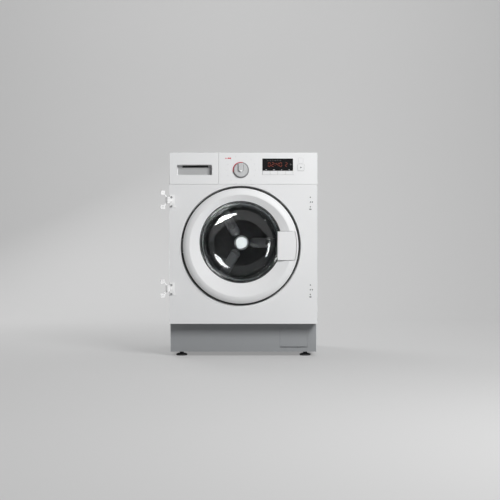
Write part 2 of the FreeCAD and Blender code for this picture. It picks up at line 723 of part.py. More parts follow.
HANDLE_GAP = ("handle_left - axis_x - 4", "handle_half + 1.3", "handle_r + 2.8")
pocket_y(trim, [handle_outline(*HANDLE_GAP)], "front_y - trim_front - 2", "front_y - trim_back - 2",
         ("axis_x", "door_z"))
pocket_y(trim, [rect(HANDLE_GAP[0], f"-({HANDLE_GAP[1]})", "handle_pivot_x - 8 - axis_x", HANDLE_GAP[1])],
         "front_y - trim_back - 3", "front_y - trim_back + 1", ("axis_x", "door_z"))
pocket_z(trim, [("handle_pivot_x", "handle_pivot_y", "2.55")],
         "door_z - handle_half - 10", "door_z + handle_half + 10")
pocket_z(trim, [("hinge_x", "hinge_y", "6")], "door_z - 27", "door_z + 27")

# Rear frame: seat for the glass, sealing collar, hinge notch and latch slot.
frame = new_body("door_rear_frame")
turn_y(frame, [rect("front_y - trim_back", "ridge_r - 65", "front_y + frame_rear", "frame_r")], "axis_x",
       "door_z")
turn_y(frame, [rect("front_y + 2", "window_r - 10", "front_y + frame_rear + 16", "window_r + 4.5")],
       "axis_x", "drum_z")
pocket_y(frame, [("axis_x", "drum_z", "glass_r + 0.5")], "front_y - trim_back - 1",
         "front_y - trim_back + glass_t")
pocket_y(frame, [("axis_x", "drum_z", "window_r - 3.5")], "front_y - trim_back - 1",
         "front_y + frame_rear + 20")
pocket_y(frame, [rect("hinge_x - 12", "door_z - 29", "hinge_x + 15", "door_z + 29"),
                 rect("hook_x - 8", "door_z - 12.5", "hook_x + 10", "door_z + 12.5")],
         "front_y - trim_back - 1", "front_y + frame_rear + 1")
pocket_z(frame, [("hook_x", "hook_y", "2.05")], "door_z - 20", "door_z + 20")

# Glass bowl: flat flange, tapering wall and rounded end.
glass = new_body("door_glass")
turn_y(glass, [[
    ("front_y - trim_back", "glass_r"), ("front_y - trim_back", "bowl_r + 5"),
    ("front_y + bowl_depth - 40", "bowl_r - 4.5", "-36"), ("front_y + bowl_depth - 8", "bowl_end_r - 4"),
    ("front_y + bowl_depth - 4", "0"), ("front_y + bowl_depth", "0"),
    ("front_y + bowl_depth - 4", "bowl_end_r", "40"),
    ("front_y + bowl_depth - 38", "bowl_r"), ("front_y - trim_back + glass_t", "bowl_r + 9.5"),
    ("front_y - trim_back + glass_t", "glass_r"),
]], "axis_x", "drum_z")

# Door hinge: leaf on the door, bracket with its pin on the dish floor.
leaf = new_body("door_hinge_leaf")
pad_z(leaf, [[("-3.5", "-2"), ("3.5", "-2.5"), ("14", "frame_rear + 3"), ("56", "frame_rear + 3"),
              ("56", "frame_rear + 6"), ("11", "frame_rear + 6"), ("-3.5", "3")]],
      "door_z - 14", "door_z + 14", ("hinge_x", "hinge_y"))
pad_z(leaf, [("0", "0", "4")], "door_z - 14", "door_z + 14", ("hinge_x", "hinge_y"))
pocket_z(leaf, [("0", "0", "2.55")], "door_z - 15", "door_z + 15", ("hinge_x", "hinge_y"))
bracket = new_body("door_hinge_bracket")
pad_y(bracket, [rounded("hinge_x - 2.5", "door_z - 28", "hinge_x + 41", "door_z + 28", "4")], "floor_y - 3",
      "floor_y")
for low, high in (("-24", "-15"), ("15", "24")):
    pad_z(bracket, [rect("-4", "0", "4", "dish_depth + 2")], f"door_z + {low}", f"door_z + {high}",
          ("hinge_x", "hinge_y"))
    pad_z(bracket, [("0", "0", "4")], f"door_z + {low}", f"door_z + {high}", ("hinge_x", "hinge_y"))
pad_z(bracket, [("hinge_x", "hinge_y", "2.5")], "door_z - 26", "door_z + 26")

# Handle: face plate over the window's edge, hub block and stub pins.
handle = new_body("door_handle")
pad_y(handle, [handle_outline("handle_left - axis_x", "handle_half", "handle_r")],
      "front_y - 27", "front_y - 21", ("axis_x", "door_z"))
soften(handle, "2.5", on_y("front_y - 27"))
pad_y(handle, [rect("handle_pivot_x - 7", "door_z - handle_half + 8", "handle_pivot_x + 4",
                    "door_z + handle_half - 8")],
      "front_y - 22", "front_y - 7")
pad_z(handle, [("handle_pivot_x", "handle_pivot_y", "2.5")], "door_z - handle_half - 9",
      "door_z + handle_half + 9")

# Latch hook on its own stub pins, and the lock behind the dish floor.
hook = new_body("latch_hook")
pad_z(hook, [("0", "0", "4")], "door_z - 11.5", "door_z + 11.5", ("hook_x", "hook_y"))
pad_z(hook, [[("-3", "0"), ("3", "0"), ("3", "24"), ("8", "28"), ("3", "33"), ("-3", "33")]],
      "door_z - 9", "door_z + 9", ("hook_x", "hook_y"))
pad_z(hook, [("hook_x", "hook_y", "2")], "door_z - 19", "door_z + 19")
lock = new_body("door_lock")
pad_y(lock, [rounded("hook_x - 18", "door_z - 44", "hook_x + 24", "door_z + 44", "5")],
      "floor_y + sheet_t", "floor_y + 28")
pocket_y(lock, [rounded("hook_x - 13", "door_z - 15", "hook_x + 17", "door_z + 15", "4")], "floor_y",
         "floor_y + 23")

# Door gasket: grips the porthole collar and the tub neck, with one bellows fold between them.
gasket = new_body("gasket")
ring_end, neck_end = "floor_y + 14", "tub_face - 14"
turn_y(gasket, [[
    (f"{ring_end} - 8", "port_r + sheet_t + 0.4"), (ring_end, "port_r + sheet_t + 0.4"),
    (ring_end, "port_r - 0.4"),
    (f"{ring_end} - 12", "port_r - 0.4"), (f"{ring_end} - 12", "port_r - 11.5"),
    (f"{ring_end} - 9", "port_r - 11.5"),
    (f"{ring_end} - 6", "port_r - 8"), (f"{ring_end} + 4", "port_r - 8"), (f"{ring_end} + 15", "port_r + 3"),
    (f"{neck_end} - 21", "neck_r - 8"), (f"{neck_end} - 8", "neck_r - 4"), (f"{neck_end} + 10", "neck_r - 4"),
    (f"{neck_end} + 10", "neck_r - 0.4"), (neck_end, "neck_r - 0.4"), (neck_end, "neck_r + 4.4"),
    (f"{neck_end} + 10", "neck_r + 4.4"), (f"{neck_end} + 10", "neck_r + 8"),
    (f"{neck_end} - 6", "neck_r + 8"),
    (f"{neck_end} - 20", "neck_r - 4"), (f"{ring_end} + 15", "port_r + 7.5"),
    (f"{ring_end} + 6", "port_r + 5"),
    (f"{ring_end} - 8", "port_r + 5"),
]], "axis_x", "drum_z")

# Tub front half and its counterweight.
tub_front = new_body("tub_front")
turn_y(tub_front, [[
    ("tub_face - 14", "neck_r"), ("tub_face + tub_wall", "neck_r"),
    ("tub_face + tub_wall", "tub_r - tub_wall"),
    ("tub_joint", "tub_r - tub_wall"), ("tub_joint", "tub_r + 7"), ("tub_joint - 8", "tub_r + 7"),
    ("tub_joint - 8", "tub_r"), ("tub_face", "tub_r"), ("tub_face", "neck_r + 4"),
    ("tub_face - 14", "neck_r + 4"),
]], "axis_x", "drum_z")
weight = new_body("counterweight")
turn_y(weight, [rect("tub_face - 38", "neck_r + 13", "tub_face", "tub_r - 6")], "axis_x", "drum_z")
pocket_y(weight, [rect("-70", "0", "70", "tub_r")], "tub_face - 40", "tub_face + 1", ("axis_x", "drum_z"))
soften(weight, "4", on_y("tub_face - 38"))

# Tub rear half: bearing hub, ribs, and lugs for dampers, motor, drying duct and springs.
tub_rear = new_body("tub_rear")
turn_y(tub_rear, [[
    ("tub_joint", "tub_r - tub_wall"), ("tub_back", "tub_r - tub_wall"), ("tub_back", "31.05"),
    ("tub_back + 16", "31.05"), ("tub_back + 16", "22"), ("tub_back + 18", "22"), ("tub_back + 18", "26.05"),
    ("tub_back + 33", "26.05"), ("tub_back + 33", "44"), ("tub_back + 5", "52"), ("tub_back + 5", "tub_r"),
    ("tub_joint + 8", "tub_r"), ("tub_joint + 8", "tub_r + 7"), ("tub_joint", "tub_r + 7"),
]], "axis_x", "drum_z")
MID = "tub_r - tub_wall / 2"


def chord(offset):
    return f"sqrt(({MID})^2 - ({offset})^2)"


def lug_below(low, high, bottom):
    return [(low, bottom), (high, bottom), (high, f"-{chord(high)}", f"-({MID})"), (low, f"-{chord(low)}")]


CENTRE = ("axis_x", "drum_z")
pad_y(tub_rear, [lug_below("-damper_offset - 12", "-damper_offset + 12", "-tub_r + 22"),
                 lug_below("damper_offset - 12", "damper_offset + 12", "-tub_r + 22")],
      "damper_y - 14", "damper_y + 14", CENTRE)
pad_y(tub_rear, [lug_below("motor_x - axis_x - 30", "motor_x - axis_x + 30",
                           "motor_z + motor_r + 6 - drum_z")],
      "motor_front + 40", "motor_front + 80", CENTRE)
DUCT_LUG = ("fan_x - 30 - axis_x", "fan_x + 10 - axis_x")
pad_y(tub_rear, [[(DUCT_LUG[0], chord(DUCT_LUG[0]), f"-({MID})"), (DUCT_LUG[1], chord(DUCT_LUG[1])),
                  (DUCT_LUG[1], "duct_z - drum_z"), (DUCT_LUG[0], "duct_z - drum_z")]],
      "fan_y - 130", "fan_y - 90", CENTRE)
NEAR, FAR = "spring_x - 14", "spring_x + 14"
pad_y(tub_rear, [[(f"-{chord('30')}", "30", f"-({MID})"),
                  (f"-({NEAR}) - axis_x", chord(f"({NEAR}) + axis_x")),
                  (f"-({NEAR}) - axis_x", "spring_low - drum_z"),
                  (f"-({FAR}) - axis_x", "spring_low - drum_z"),
                  (f"-({FAR}) - axis_x", "30")],
                 [(chord("30"), "30"), (f"{FAR} - axis_x", "30"), (f"{FAR} - axis_x", "spring_low - drum_z"),
                  (f"{NEAR} - axis_x", "spring_low - drum_z"),
                  (f"{NEAR} - axis_x", chord(f"({NEAR}) - axis_x"), f"-({MID})")]],
      "spring_y - 15", "spring_y + 15", CENTRE)
pocket_y(tub_rear, [("-30", "heater_z - drum_z", "4"), ("30", "heater_z - drum_z", "4")], "tub_back - 1",
         "tub_back + 6", CENTRE)
rib = pad_y(tub_rear, [rect("46", "-2", "tub_r - 3", "2")], "tub_back + 3", "tub_back + 14", CENTRE)
around(tub_rear, rib, 10)

# Bearings for the drum shaft.
node(group([
    cut(rod_y("tub_back", "tub_back + 16", "axis_x", "drum_z", "31"),
        [rod_y("tub_back - 1", "tub_back + 17", "axis_x", "drum_z", "shaft_r + 2.55")]),
    cut(rod_y("tub_back + 18", "tub_back + 33", "axis_x", "drum_z", "26"),
        [rod_y("tub_back + 17", "tub_back + 34", "axis_x", "drum_z", "shaft_r + 0.05")]),
]), "drum_bearings")

# Drum shell: rolled mouth, rounded shoulders, rear wall with a pressed three-armed star.
shell = new_body("drum_shell")
turn_y(shell, [[
    ("drum_face", "mouth_r"), ("drum_face + 6", "drum_r - 30", "-30"), ("drum_face + 36", "drum_r"),
    ("drum_back - 12", "drum_r", "-12"), ("drum_back", "drum_r - 12"), ("drum_back", "0"),
    ("drum_back - drum_t", "0"), ("drum_back - drum_t", "drum_r - 12", "12 - drum_t"),
    ("drum_back - 12", "drum_r - drum_t"), ("drum_face + 36", "drum_r - drum_t", "30 - drum_t"),
    ("drum_face + 6 + drum_t", "drum_r - 30"), ("drum_face + drum_t", "mouth_r"),
]], "axis_x", "drum_z")
arm = pad_y(shell, [rounded("-22", "36", "22", "drum_r - 40", "20")], "drum_back - drum_t - 4",
            "drum_back - 0.2", CENTRE)
around(shell, arm, 3)

# Lifters, hub cap, spider with shaft, and the belt pulley.
lifters = new_body("drum_lifters")
RIM = "drum_r - drum_t - 0.3"
lifter = pad_y(lifters, [[("-22", f"-sqrt(({RIM})^2 - 22^2)", RIM), ("22", f"-sqrt(({RIM})^2 - 22^2)"),
                          ("9", "-drum_r + 48", "10"), ("-9", "-drum_r + 48")]],
               "drum_face + 45", "drum_back - 30", CENTRE)
around(lifters, lifter, 3)
hub_cap = new_body("drum_hub_cap")
turn_y(hub_cap, [[("drum_back - drum_t", "0"), ("drum_back - drum_t", "32"),
                  ("drum_back - drum_t - 5", "32", "9"),
                  ("drum_back - drum_t - 12", "24"), ("drum_back - drum_t - 12", "0")]], "axis_x", "drum_z")
spider = new_body("drum_spider")
turn_y(spider, [[
    ("drum_back", "0"), ("drum_back", "46"), ("tub_back - 3", "40"), ("tub_back - 3", "shaft_r + 6"),
    ("tub_back", "shaft_r + 6"), ("tub_back", "shaft_r + 2.5"), ("tub_back + 17", "shaft_r + 2.5"),
    ("tub_back + 17", "shaft_r"), ("pulley_y + pulley_width + 4", "shaft_r"),
    ("pulley_y + pulley_width + 4", "0"),
]], "axis_x", "drum_z")
leg = pad_y(spider, [[("-20", "30"), ("20", "30"), ("13", "drum_r - 16"), ("-13", "drum_r - 16")]],
            "drum_back", "drum_back + 11", CENTRE)
around(spider, leg, 3)
pulley = new_body("drum_pulley")
turn_y(pulley, [[
    ("pulley_y", "shaft_r + 0.05"), ("pulley_y + pulley_width", "shaft_r + 0.05"),
    ("pulley_y + pulley_width", "28"),
    ("pulley_y + pulley_width / 2 + 3", "32"), ("pulley_y + pulley_width / 2 + 3", "pulley_r - 7"),
    ("pulley_y + pulley_width", "pulley_r - 6"), ("pulley_y + pulley_width", "pulley_r"),
    ("pulley_y", "pulley_r"),
    ("pulley_y", "pulley_r - 6"), ("pulley_y + pulley_width / 2 - 3", "pulley_r - 7"),
    ("pulley_y + pulley_width / 2 - 3", "32"), ("pulley_y", "28"),
]], "axis_x", "drum_z")
window_cut = pocket_y(pulley, [[("42", "-14"), ("pulley_r - 16", "-36"), ("pulley_r - 16", "36"),
                                ("42", "14")]],
                      "pulley_y", "pulley_y + pulley_width", CENTRE)
around(pulley, window_cut, 5)

# Motor under the tub, its pulley and the drive belt.
motor = new_body("motor")
turn_y(motor, [[
    ("motor_front", "0"), ("motor_front", "motor_r - 12"), ("motor_front + 8", "motor_r"),
    ("motor_back - 8", "motor_r"),
    ("motor_back", "motor_r - 12"), ("tub_back + 23", "motor_r - 12"), ("tub_back + 23", "6.05"),
    ("motor_back - 28", "6.05"), ("motor_back - 28", "0"),
]], "motor_x", "motor_z")
pad_z(motor, [rect("-30", "motor_front + 40", "30", "motor_front + 80")], "motor_z + motor_r - 16",
      "motor_z + motor_r + 6", ("motor_x", "0"))
motor_pulley = new_body("motor_pulley")
turn_y(motor_pulley, [[("motor_back - 26", "0"), ("motor_back - 26", "6"), ("pulley_y - 2", "6"),
                       ("pulley_y - 2", "motor_pulley_r"),
                       ("pulley_y + pulley_width", "motor_pulley_r"), ("pulley_y + pulley_width", "0")]],
       "motor_x", "motor_z")


# A belt loop is two arcs joined by the outer tangents of its two circles.
def belt_loop(grow, y):
    big, small = value("pulley_r") + grow, value("motor_pulley_r") + grow
    dx, dz = value("motor_x - axis_x"), value("motor_z - drum_z")
    lean, heading = math.acos((big - small) / math.hypot(dx, dz)), math.atan2(dz, dx)

    def spot(x, z, r, angle):
        return FreeCAD.Vector(value("axis_x") + x + r * math.cos(angle), y,
                              value("drum_z") + z + r * math.sin(angle))

    a, b = spot(0, 0, big, heading + lean), spot(0, 0, big, heading - lean)
    c, d = spot(dx, dz, small, heading - lean), spot(dx, dz, small, heading + lean)
    far, near = spot(0, 0, big, heading + math.pi), spot(dx, dz, small, heading)
    edges = [Part.Arc(a, far, b).toShape(), Part.makeLine(b, c), Part.Arc(c, near, d).toShape(),
             Part.makeLine(d, a)]
    return Part.Face(Part.Wire(edges))


belt = doc.addObject("Part::Feature", "drive_belt")
belt_y = value("pulley_y + 3")
belt_face = belt_loop(0.3 + value("belt_t"), belt_y).cut(belt_loop(0.3, belt_y))
belt.Shape = belt_face.extrude(FreeCAD.Vector(0, value("pulley_width") - 6, 0))
node(belt, "drive_belt")

# Heating element: a tube bent into a U below the drum, with its sealing flange outside the tub.
bend = doc.addObject("Part::Torus", "bend")
bend.Radius1 = 30
bend.Radius2 = 3.5
bend.Angle3 = 180
bend.Placement.Rotation = FreeCAD.Rotation(FreeCAD.Vector(0, 0, 1), 180)
for axis, text in zip("xyz", ("axis_x", "-60", "heater_z")):
    bind(bend, f"Placement.Base.{axis}", text)
node(fuse([
    bend,
    rod_y("-60", "tub_back + 10", "axis_x - 30", "heater_z", "3.5"),
    rod_y("-60", "tub_back + 10", "axis_x + 30", "heater_z", "3.5"),
    block("axis_x - 45", "axis_x + 45", "tub_back + 5", "tub_back + 13", "heater_z - 7", "heater_z + 7"),
]), "heating_element")

# Drying duct cast in one with the fan scroll, over the tub.
node(cut(fuse([
    block("fan_x - 50", "fan_x + 50", "duct_front", "fan_y - 40", "duct_z", "duct_z + duct_height"),
    rod_z("duct_z", "duct_z + duct_height", "fan_x", "fan_y", "fan_r + 6 + duct_wall + 2"),
    rod_z("duct_z - 24", "duct_z + 2", "fan_x", "fan_y", "26"),
]), [
    block("fan_x - 50 + duct_wall", "fan_x + 50 - duct_wall", "duct_front - 5", "fan_y - 30",
          "duct_z + duct_wall",
          "duct_z + duct_height - duct_wall"),
    rod_z("duct_z + duct_wall", "duct_z + duct_height - duct_wall", "fan_x", "fan_y", "fan_r + 6"),
    rod_z("duct_z - 20", "duct_z + duct_wall + 1", "fan_x", "fan_y", "4.05"),
]), "drying_duct")
fan = new_body("fan_wheel")
plate = "duct_z + duct_wall + 4"
turn_z(fan, [[("0", "duct_z - 18"), ("4", "duct_z - 18"), ("4", plate), ("fan_r", plate),
              ("fan_r", f"{plate} + 3"),
              ("12", f"{plate} + 3"), ("8", "duct_z + duct_height - 16"),
              ("0", "duct_z + duct_height - 16")]],
       "fan_x", "fan_y")
blade = pad_z(fan, [rect("fan_r - 17", "-0.9", "fan_r - 1", "0.9")], f"{plate} + 2",
              "duct_z + duct_height - 10",
              ("fan_x", "fan_y"))
around(fan, blade, 18)


# Suspension spring: a helical wire between two seat discs.
def spring(x):
    r, wire = value("spring_r"), value("spring_wire")
    low, high = value("spring_low"), value("spring_high")
    coil_low, coil_high = low + 3, high - 3
    path = Part.makeHelix((coil_high - coil_low) / value("spring_turns"), coil_high - coil_low, r)
    path.translate(FreeCAD.Vector(0, 0, coil_low))
    section = Part.Wire(Part.makeCircle(wire, FreeCAD.Vector(r, 0, coil_low), FreeCAD.Vector(0, 1, 0)))
    coil = Part.Wire(path).makePipeShell([section], True, True)
    seats = [Part.makeCylinder(r + 2 * wire, 3 + wire, FreeCAD.Vector(0, 0, z)) for z in (low,
                                                                                          high - 3 - wire)]
    whole = coil.fuse(seats)
    whole.translate(FreeCAD.Vector(x, value("spring_y"), 0))
    return whole


springs = doc.addObject("Part::Feature", "suspension_springs")
springs.Shape = Part.makeCompound([spring(-value("spring_x")), spring(value("spring_x"))])
node(springs, "suspension_springs")

# Dampers: cylinders on the base tray, rods on the tub.
SIDES = ("axis_x - damper_offset", "axis_x + damper_offset")
node(group([cut(rod_z("foot_rise + 3", "drum_z - 300", x, "damper_y", "damper_r"),
                [rod_z("foot_rise + 30", "drum_z - 299", x, "damper_y", "rod_r + 0.3")]) for x in SIDES]),
     "damper_cylinders")
node(group([rod_z("foot_rise + 50", "drum_z - tub_r + 22", x, "damper_y", "rod_r") for x in SIDES]),
     "damper_rods")

# Drain pump with filter chamber and outlet pipe, its filter, and the flap in the kick front.
chamber = new_body("drain_pump")
turn_y(chamber, [[
    ("kick_y + 24", "filter_r + 0.3"), ("kick_y + 24", "filter_r + 5"), ("kick_y + 95", "filter_r + 5"),
    ("kick_y + 95", "38"), ("kick_y + 125", "38"), ("kick_y + 125", "30"), ("kick_y + 180", "30"),
    ("kick_y + 180", "0"), ("kick_y + 92", "0"), ("kick_y + 92", "filter_r + 0.3"),
]], "pump_x", "pump_z")
pad_x(chamber, [("kick_y + 110", "pump_z", "11")], "pump_x + 20", "pump_x + outlet_offset")
turn_y(chamber, [[
    ("kick_y + 98", "0"), ("kick_y + 98", "outlet_r + 1.5"), ("back_y - 6", "outlet_r + 1.5"),
    ("back_y - 6", "outlet_r + 6"), ("back_y - sheet_t", "outlet_r + 6"),
    ("back_y - sheet_t", "outlet_r + 1.5"),
    ("back_y", "outlet_r + 1.5"), ("back_y", "outlet_r"), ("back_y + 24", "outlet_r"),
    ("back_y + 24", "outlet_r - 3"), ("back_y - 30", "outlet_r - 3"), ("back_y - 30", "0"),
]], "pump_x + outlet_offset", "pump_z")
filter_body = new_body("pump_filter")
turn_y(filter_body, [[("kick_y + 17", "0"), ("kick_y + 17", "filter_r + 3"), ("kick_y + 24", "filter_r + 3"),
                      ("kick_y + 24", "filter_r"), ("kick_y + 86", "filter_r"), ("kick_y + 86", "0")]],
       "pump_x", "pump_z")
pad_y(filter_body, [rounded("-4", "-22", "4", "22", "3")], "kick_y + 7", "kick_y + 18", ("pump_x", "pump_z"))
flap = new_body("filter_flap")
pad_y(flap, [rect("pump_x - 55.4", "foot_rise + 20", "pump_x + 55.4", "pump_z + 37.4")], "kick_y",
      "kick_y + 3")
pad_x(flap, [("kick_y + 5", "foot_rise + 23.5", "3.5")], "pump_x - 55.4", "pump_x + 55.4")
pad_x(flap, [("kick_y + 5", "foot_rise + 23.5", "1.5")], "pump_x - 60", "pump_x + 60")

# Furniture door hinges: bases on the front panel, screws, and the two leaves at their open angle.
LEVELS = {"furniture_hinge_upper": "hinge_high", "furniture_hinge_lower": "hinge_high - hinge_pitch"}
BARREL = ("hinge_pivot_x", "front_y - hinge_pivot_out")
bases, screws = [], []
for level in LEVELS.values():
    spots = [f"{level} + hole_half", f"{level} - hole_half + 2"]
    middle = f"{level} + hinge_lift"
    bases.append(cut(fuse([
        block("left_x + 2", "left_x + 21", "front_y - 2.5", "front_y", f"{level} - 22", f"{level} + 29"),
        block("left_x + 18", "left_x + 26", "front_y - 2.5", "front_y", f"{level} - 22", f"{level} - 15"),
        block("hinge_pivot_x - knuckle_r", "hinge_pivot_x + knuckle_r + 4", "front_y - hinge_pivot_out",
              "front_y - 2", f"{middle} - 6", f"{middle} + 6"),
        rod_z(f"{middle} - 6", f"{middle} + 6", *BARREL, "knuckle_r"),
    ]), [
        rod_z(f"{middle} - 7", f"{middle} + 7", *BARREL, "2.55"),
        block("left_x - 20", "left_x + 1", "front_y - 8", "front_y + 1", f"{middle} - 7", f"{middle} + 7"),
        block("left_x + 13", "left_x + 16", "front_y - 3", "front_y + 1", f"{level} - 23", f"{level} - 3"),
    ] + [rod_y("front_y - 4", "front_y + 1", "hinge_screw_x", z, "screw_r + 0.2") for z in spots]))
    screws += [fuse([rod_y("front_y - 5", "front_y - 2.5", "hinge_screw_x", z, "screw_r + 2"),
                     rod_y("front_y - 3", "front_y + 8", "hinge_screw_x", z, "screw_r")]) for z in spots]
node(group(bases), "furniture_hinge_bases")
node(group(screws), "hinge_screws")
for label, level in LEVELS.items():
    wing = new_body(label)
    pad_z(wing, [("0", "0", "2.5")], "-13", "13")
    for low, high in (("6.4", "13"), ("-13", "-6.4")):
        pad_z(wing, [("0", "0", "knuckle_r")], low, high)
    strap = [("-1", 6.6), ("6", 6.6), ("16", 20), ("37.5", 20), ("37.5", 36.5), ("12", 36.5), ("12", 22.5),
             ("-1", 12.8)]
    for way in (1, -1):
        pad_y(wing, [[(x, f"{way * z}") for x, z in strap]], "-6", "-4")
    soften(wing, "3.5", lambda e: e.BoundBox.YLength > 1.9 and e.BoundBox.DiagonalLength < 2.1
           and (e.BoundBox.XMin > 30 or abs(e.BoundBox.ZMin) > 30))
    pocket_y(wing, [("25", "28.25", "screw_r"), ("25", "-28.25", "screw_r")], "-7", "-3")
    wing.Placement = FreeCAD.Placement(FreeCAD.Vector(), FreeCAD.Rotation(FreeCAD.Vector(0, 0, -1), 90))
    bind(wing, "Placement.Base.x", "frame_x + hinge_pivot_x")
    bind(wing, "Placement.Base.y", "frame_y + front_y - hinge_pivot_out")
    bind(wing, "Placement.Base.z", f"{level} + hinge_lift")
    bind(wing, "Placement.Rotation.Angle", "hinge_open")


doc.recompute()
faulty = [item.Label for item in doc.Objects if "Invalid" in item.State or "Error" in item.State]
faulty += [item.Label for item in NODES if not item.Shape.isValid() or not item.Shape.Solids]
if faulty:
    raise RuntimeError("faulty objects: " + ", ".join(faulty))
os.makedirs("parts", exist_ok=True)
for item in NODES:
    item.Shape.exportStep(f"parts/{item.Label}.step")
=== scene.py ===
import math

import bmesh
import bpy
from mathutils import Matrix, Vector


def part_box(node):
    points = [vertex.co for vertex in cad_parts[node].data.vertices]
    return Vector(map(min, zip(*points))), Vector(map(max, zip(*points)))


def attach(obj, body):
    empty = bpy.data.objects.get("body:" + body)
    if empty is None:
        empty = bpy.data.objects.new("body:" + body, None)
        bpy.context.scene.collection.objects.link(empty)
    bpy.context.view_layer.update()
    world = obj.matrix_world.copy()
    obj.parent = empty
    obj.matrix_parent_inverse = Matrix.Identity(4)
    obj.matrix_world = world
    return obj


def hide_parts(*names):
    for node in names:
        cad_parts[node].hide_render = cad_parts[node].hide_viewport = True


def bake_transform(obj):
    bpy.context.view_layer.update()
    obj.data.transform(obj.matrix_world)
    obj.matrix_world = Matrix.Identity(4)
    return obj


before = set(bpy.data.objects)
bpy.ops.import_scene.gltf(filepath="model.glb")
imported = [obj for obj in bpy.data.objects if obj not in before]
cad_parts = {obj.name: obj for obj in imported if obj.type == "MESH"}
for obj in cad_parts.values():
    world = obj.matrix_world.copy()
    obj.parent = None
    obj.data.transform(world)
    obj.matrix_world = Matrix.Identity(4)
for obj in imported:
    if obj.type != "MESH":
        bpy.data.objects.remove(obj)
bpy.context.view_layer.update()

# Base tray with its kick front. A grey filled polypropylene moulding that carries feet, dampers and
# pump; its front wall stands back under the door panel and closes the plinth recess.
MM = 0.001


def shader_group(name, numbers):
    tree = bpy.data.node_groups.new(name, "ShaderNodeTree")
    tree.interface.new_socket("Place", in_out="INPUT", socket_type="NodeSocketVector")
    tree.interface.new_socket("Colour", in_out="INPUT", socket_type="NodeSocketColor")
    for label, value in numbers.items():
        socket = tree.interface.new_socket(label, in_out="INPUT", socket_type="NodeSocketFloat")
        socket.default_value = value
    for label, kind in (("Colour", "Color"), ("Roughness", "Float"), ("Normal", "Vector")):
        tree.interface.new_socket(label, in_out="OUTPUT", socket_type="NodeSocket" + kind)
    return tree, tree.nodes.new("NodeGroupInput"), tree.nodes.new("NodeGroupOutput")


def add_node(tree, kind, settings=(), **inputs):
    item = tree.nodes.new("ShaderNode" + kind)
    for key, value in dict(settings).items():
        setattr(item, key, value)
    for key, value in inputs.items():
        place = int(key[1:]) if key[1:].isdigit() else key.replace("_", " ")
        if isinstance(value, bpy.types.NodeSocket):
            tree.links.new(value, item.inputs[place])
        else:
            item.inputs[place].default_value = value
    return item


def math_node(tree, operation, a, b=0.0):
    return add_node(tree, "Math", {"operation": operation}, i0=a, i1=b).outputs[0]


def swing(tree, pattern, amount):
    return math_node(tree, "MULTIPLY", math_node(tree, "SUBTRACT", pattern, 0.5), amount)


def close_group(tree, entry, leave, lift, gloss, **relief):
    value = math_node(tree, "ADD", lift, 1.0)
    tone = add_node(tree, "HueSaturation", Color=entry.outputs["Colour"], Value=value)
    gloss = math_node(tree, "ADD", gloss, entry.outputs["Roughness"])
    tree.links.new(tone.outputs[0], leave.inputs["Colour"])
    tree.links.new(gloss, leave.inputs["Roughness"])
    tree.links.new(add_node(tree, "Bump", **relief).outputs[0], leave.inputs["Normal"])


# The skin of a moulding or of paint: slow drift in tone and gloss, and a fine grain.
moulded, entry, leave = shader_group(
    "moulded_skin", {"Roughness": 0.4, "Grain": 900.0, "Depth": 0.1, "Drift": 0.04})
place = entry.outputs["Place"]
slow = add_node(moulded, "TexNoise", Vector=place, Scale=5.0, Detail=2.0).outputs["Fac"]
fine = add_node(moulded, "TexNoise", Vector=place, Scale=entry.outputs["Grain"], Detail=3.0)
fine = fine.outputs["Fac"]
lift = swing(moulded, slow, entry.outputs["Drift"])
gloss = math_node(moulded, "ADD", swing(moulded, fine, 0.16), lift)
close_group(moulded, entry, leave, lift, gloss,
            Strength=entry.outputs["Depth"], Distance=0.0004, Height=fine)


def finish(name, group, colour, metallic=0.0, coat=0.0, **numbers):
    mat = bpy.data.materials.new(name)
    mat.use_nodes = True
    tree = mat.node_tree
    bsdf = tree.nodes["Principled BSDF"]
    bsdf.inputs["Metallic"].default_value = metallic
    bsdf.inputs["Coat Weight"].default_value = coat
    bsdf.inputs["Coat Roughness"].default_value = 0.12
    skin = tree.nodes.new("ShaderNodeGroup")
    skin.node_tree = group
    skin.inputs["Colour"].default_value = (*colour, 1)
    for label, value in numbers.items():
        skin.inputs[label].default_value = value
    tree.links.new(tree.nodes.new("ShaderNodeTexCoord").outputs["Object"], skin.inputs["Place"])
    for label, socket in (("Colour", "Base Color"), ("Roughness", "Roughness"), ("Normal", "Normal")):
        tree.links.new(skin.outputs[label], bsdf.inputs[socket])
    return mat


def dress(material, *nodes):
    for name in nodes:
        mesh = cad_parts[name].data
        mesh.materials.clear()
        mesh.materials.append(material)


grey_moulding = finish("grey_moulding", moulded, (0.30, 0.31, 0.32),
                       Roughness=0.55, Grain=700.0, Depth=0.25)
dress(grey_moulding, "base_tray", "filter_flap")

# Levelling feet. A ribbed rubber-soled pad, a hexagon for the spanner and a threaded steel spindle,
# screwed up into the bosses of the base tray from below.
foot_rubber = finish("foot_rubber", moulded, (0.028, 0.028, 0.03),
                     Roughness=0.7, Grain=1200.0, Depth=0.3)


def new_piece(name, bm, material, body, stands_for=(), crease=35):
    bmesh.ops.remove_doubles(bm, verts=bm.verts, dist=1e-6)
    bmesh.ops.recalc_face_normals(bm, faces=bm.faces)
    mesh = bpy.data.meshes.new(name)
    bm.to_mesh(mesh)
    bm.free()
    mesh.shade_smooth()
    mesh.set_sharp_from_angle(angle=math.radians(crease))
    mesh.materials.append(material)
    item = bpy.data.objects.new(name, mesh)
    bpy.context.scene.collection.objects.link(item)
    if body:
        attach(item, body)
    if stands_for:
        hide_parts(*stands_for)
    return item


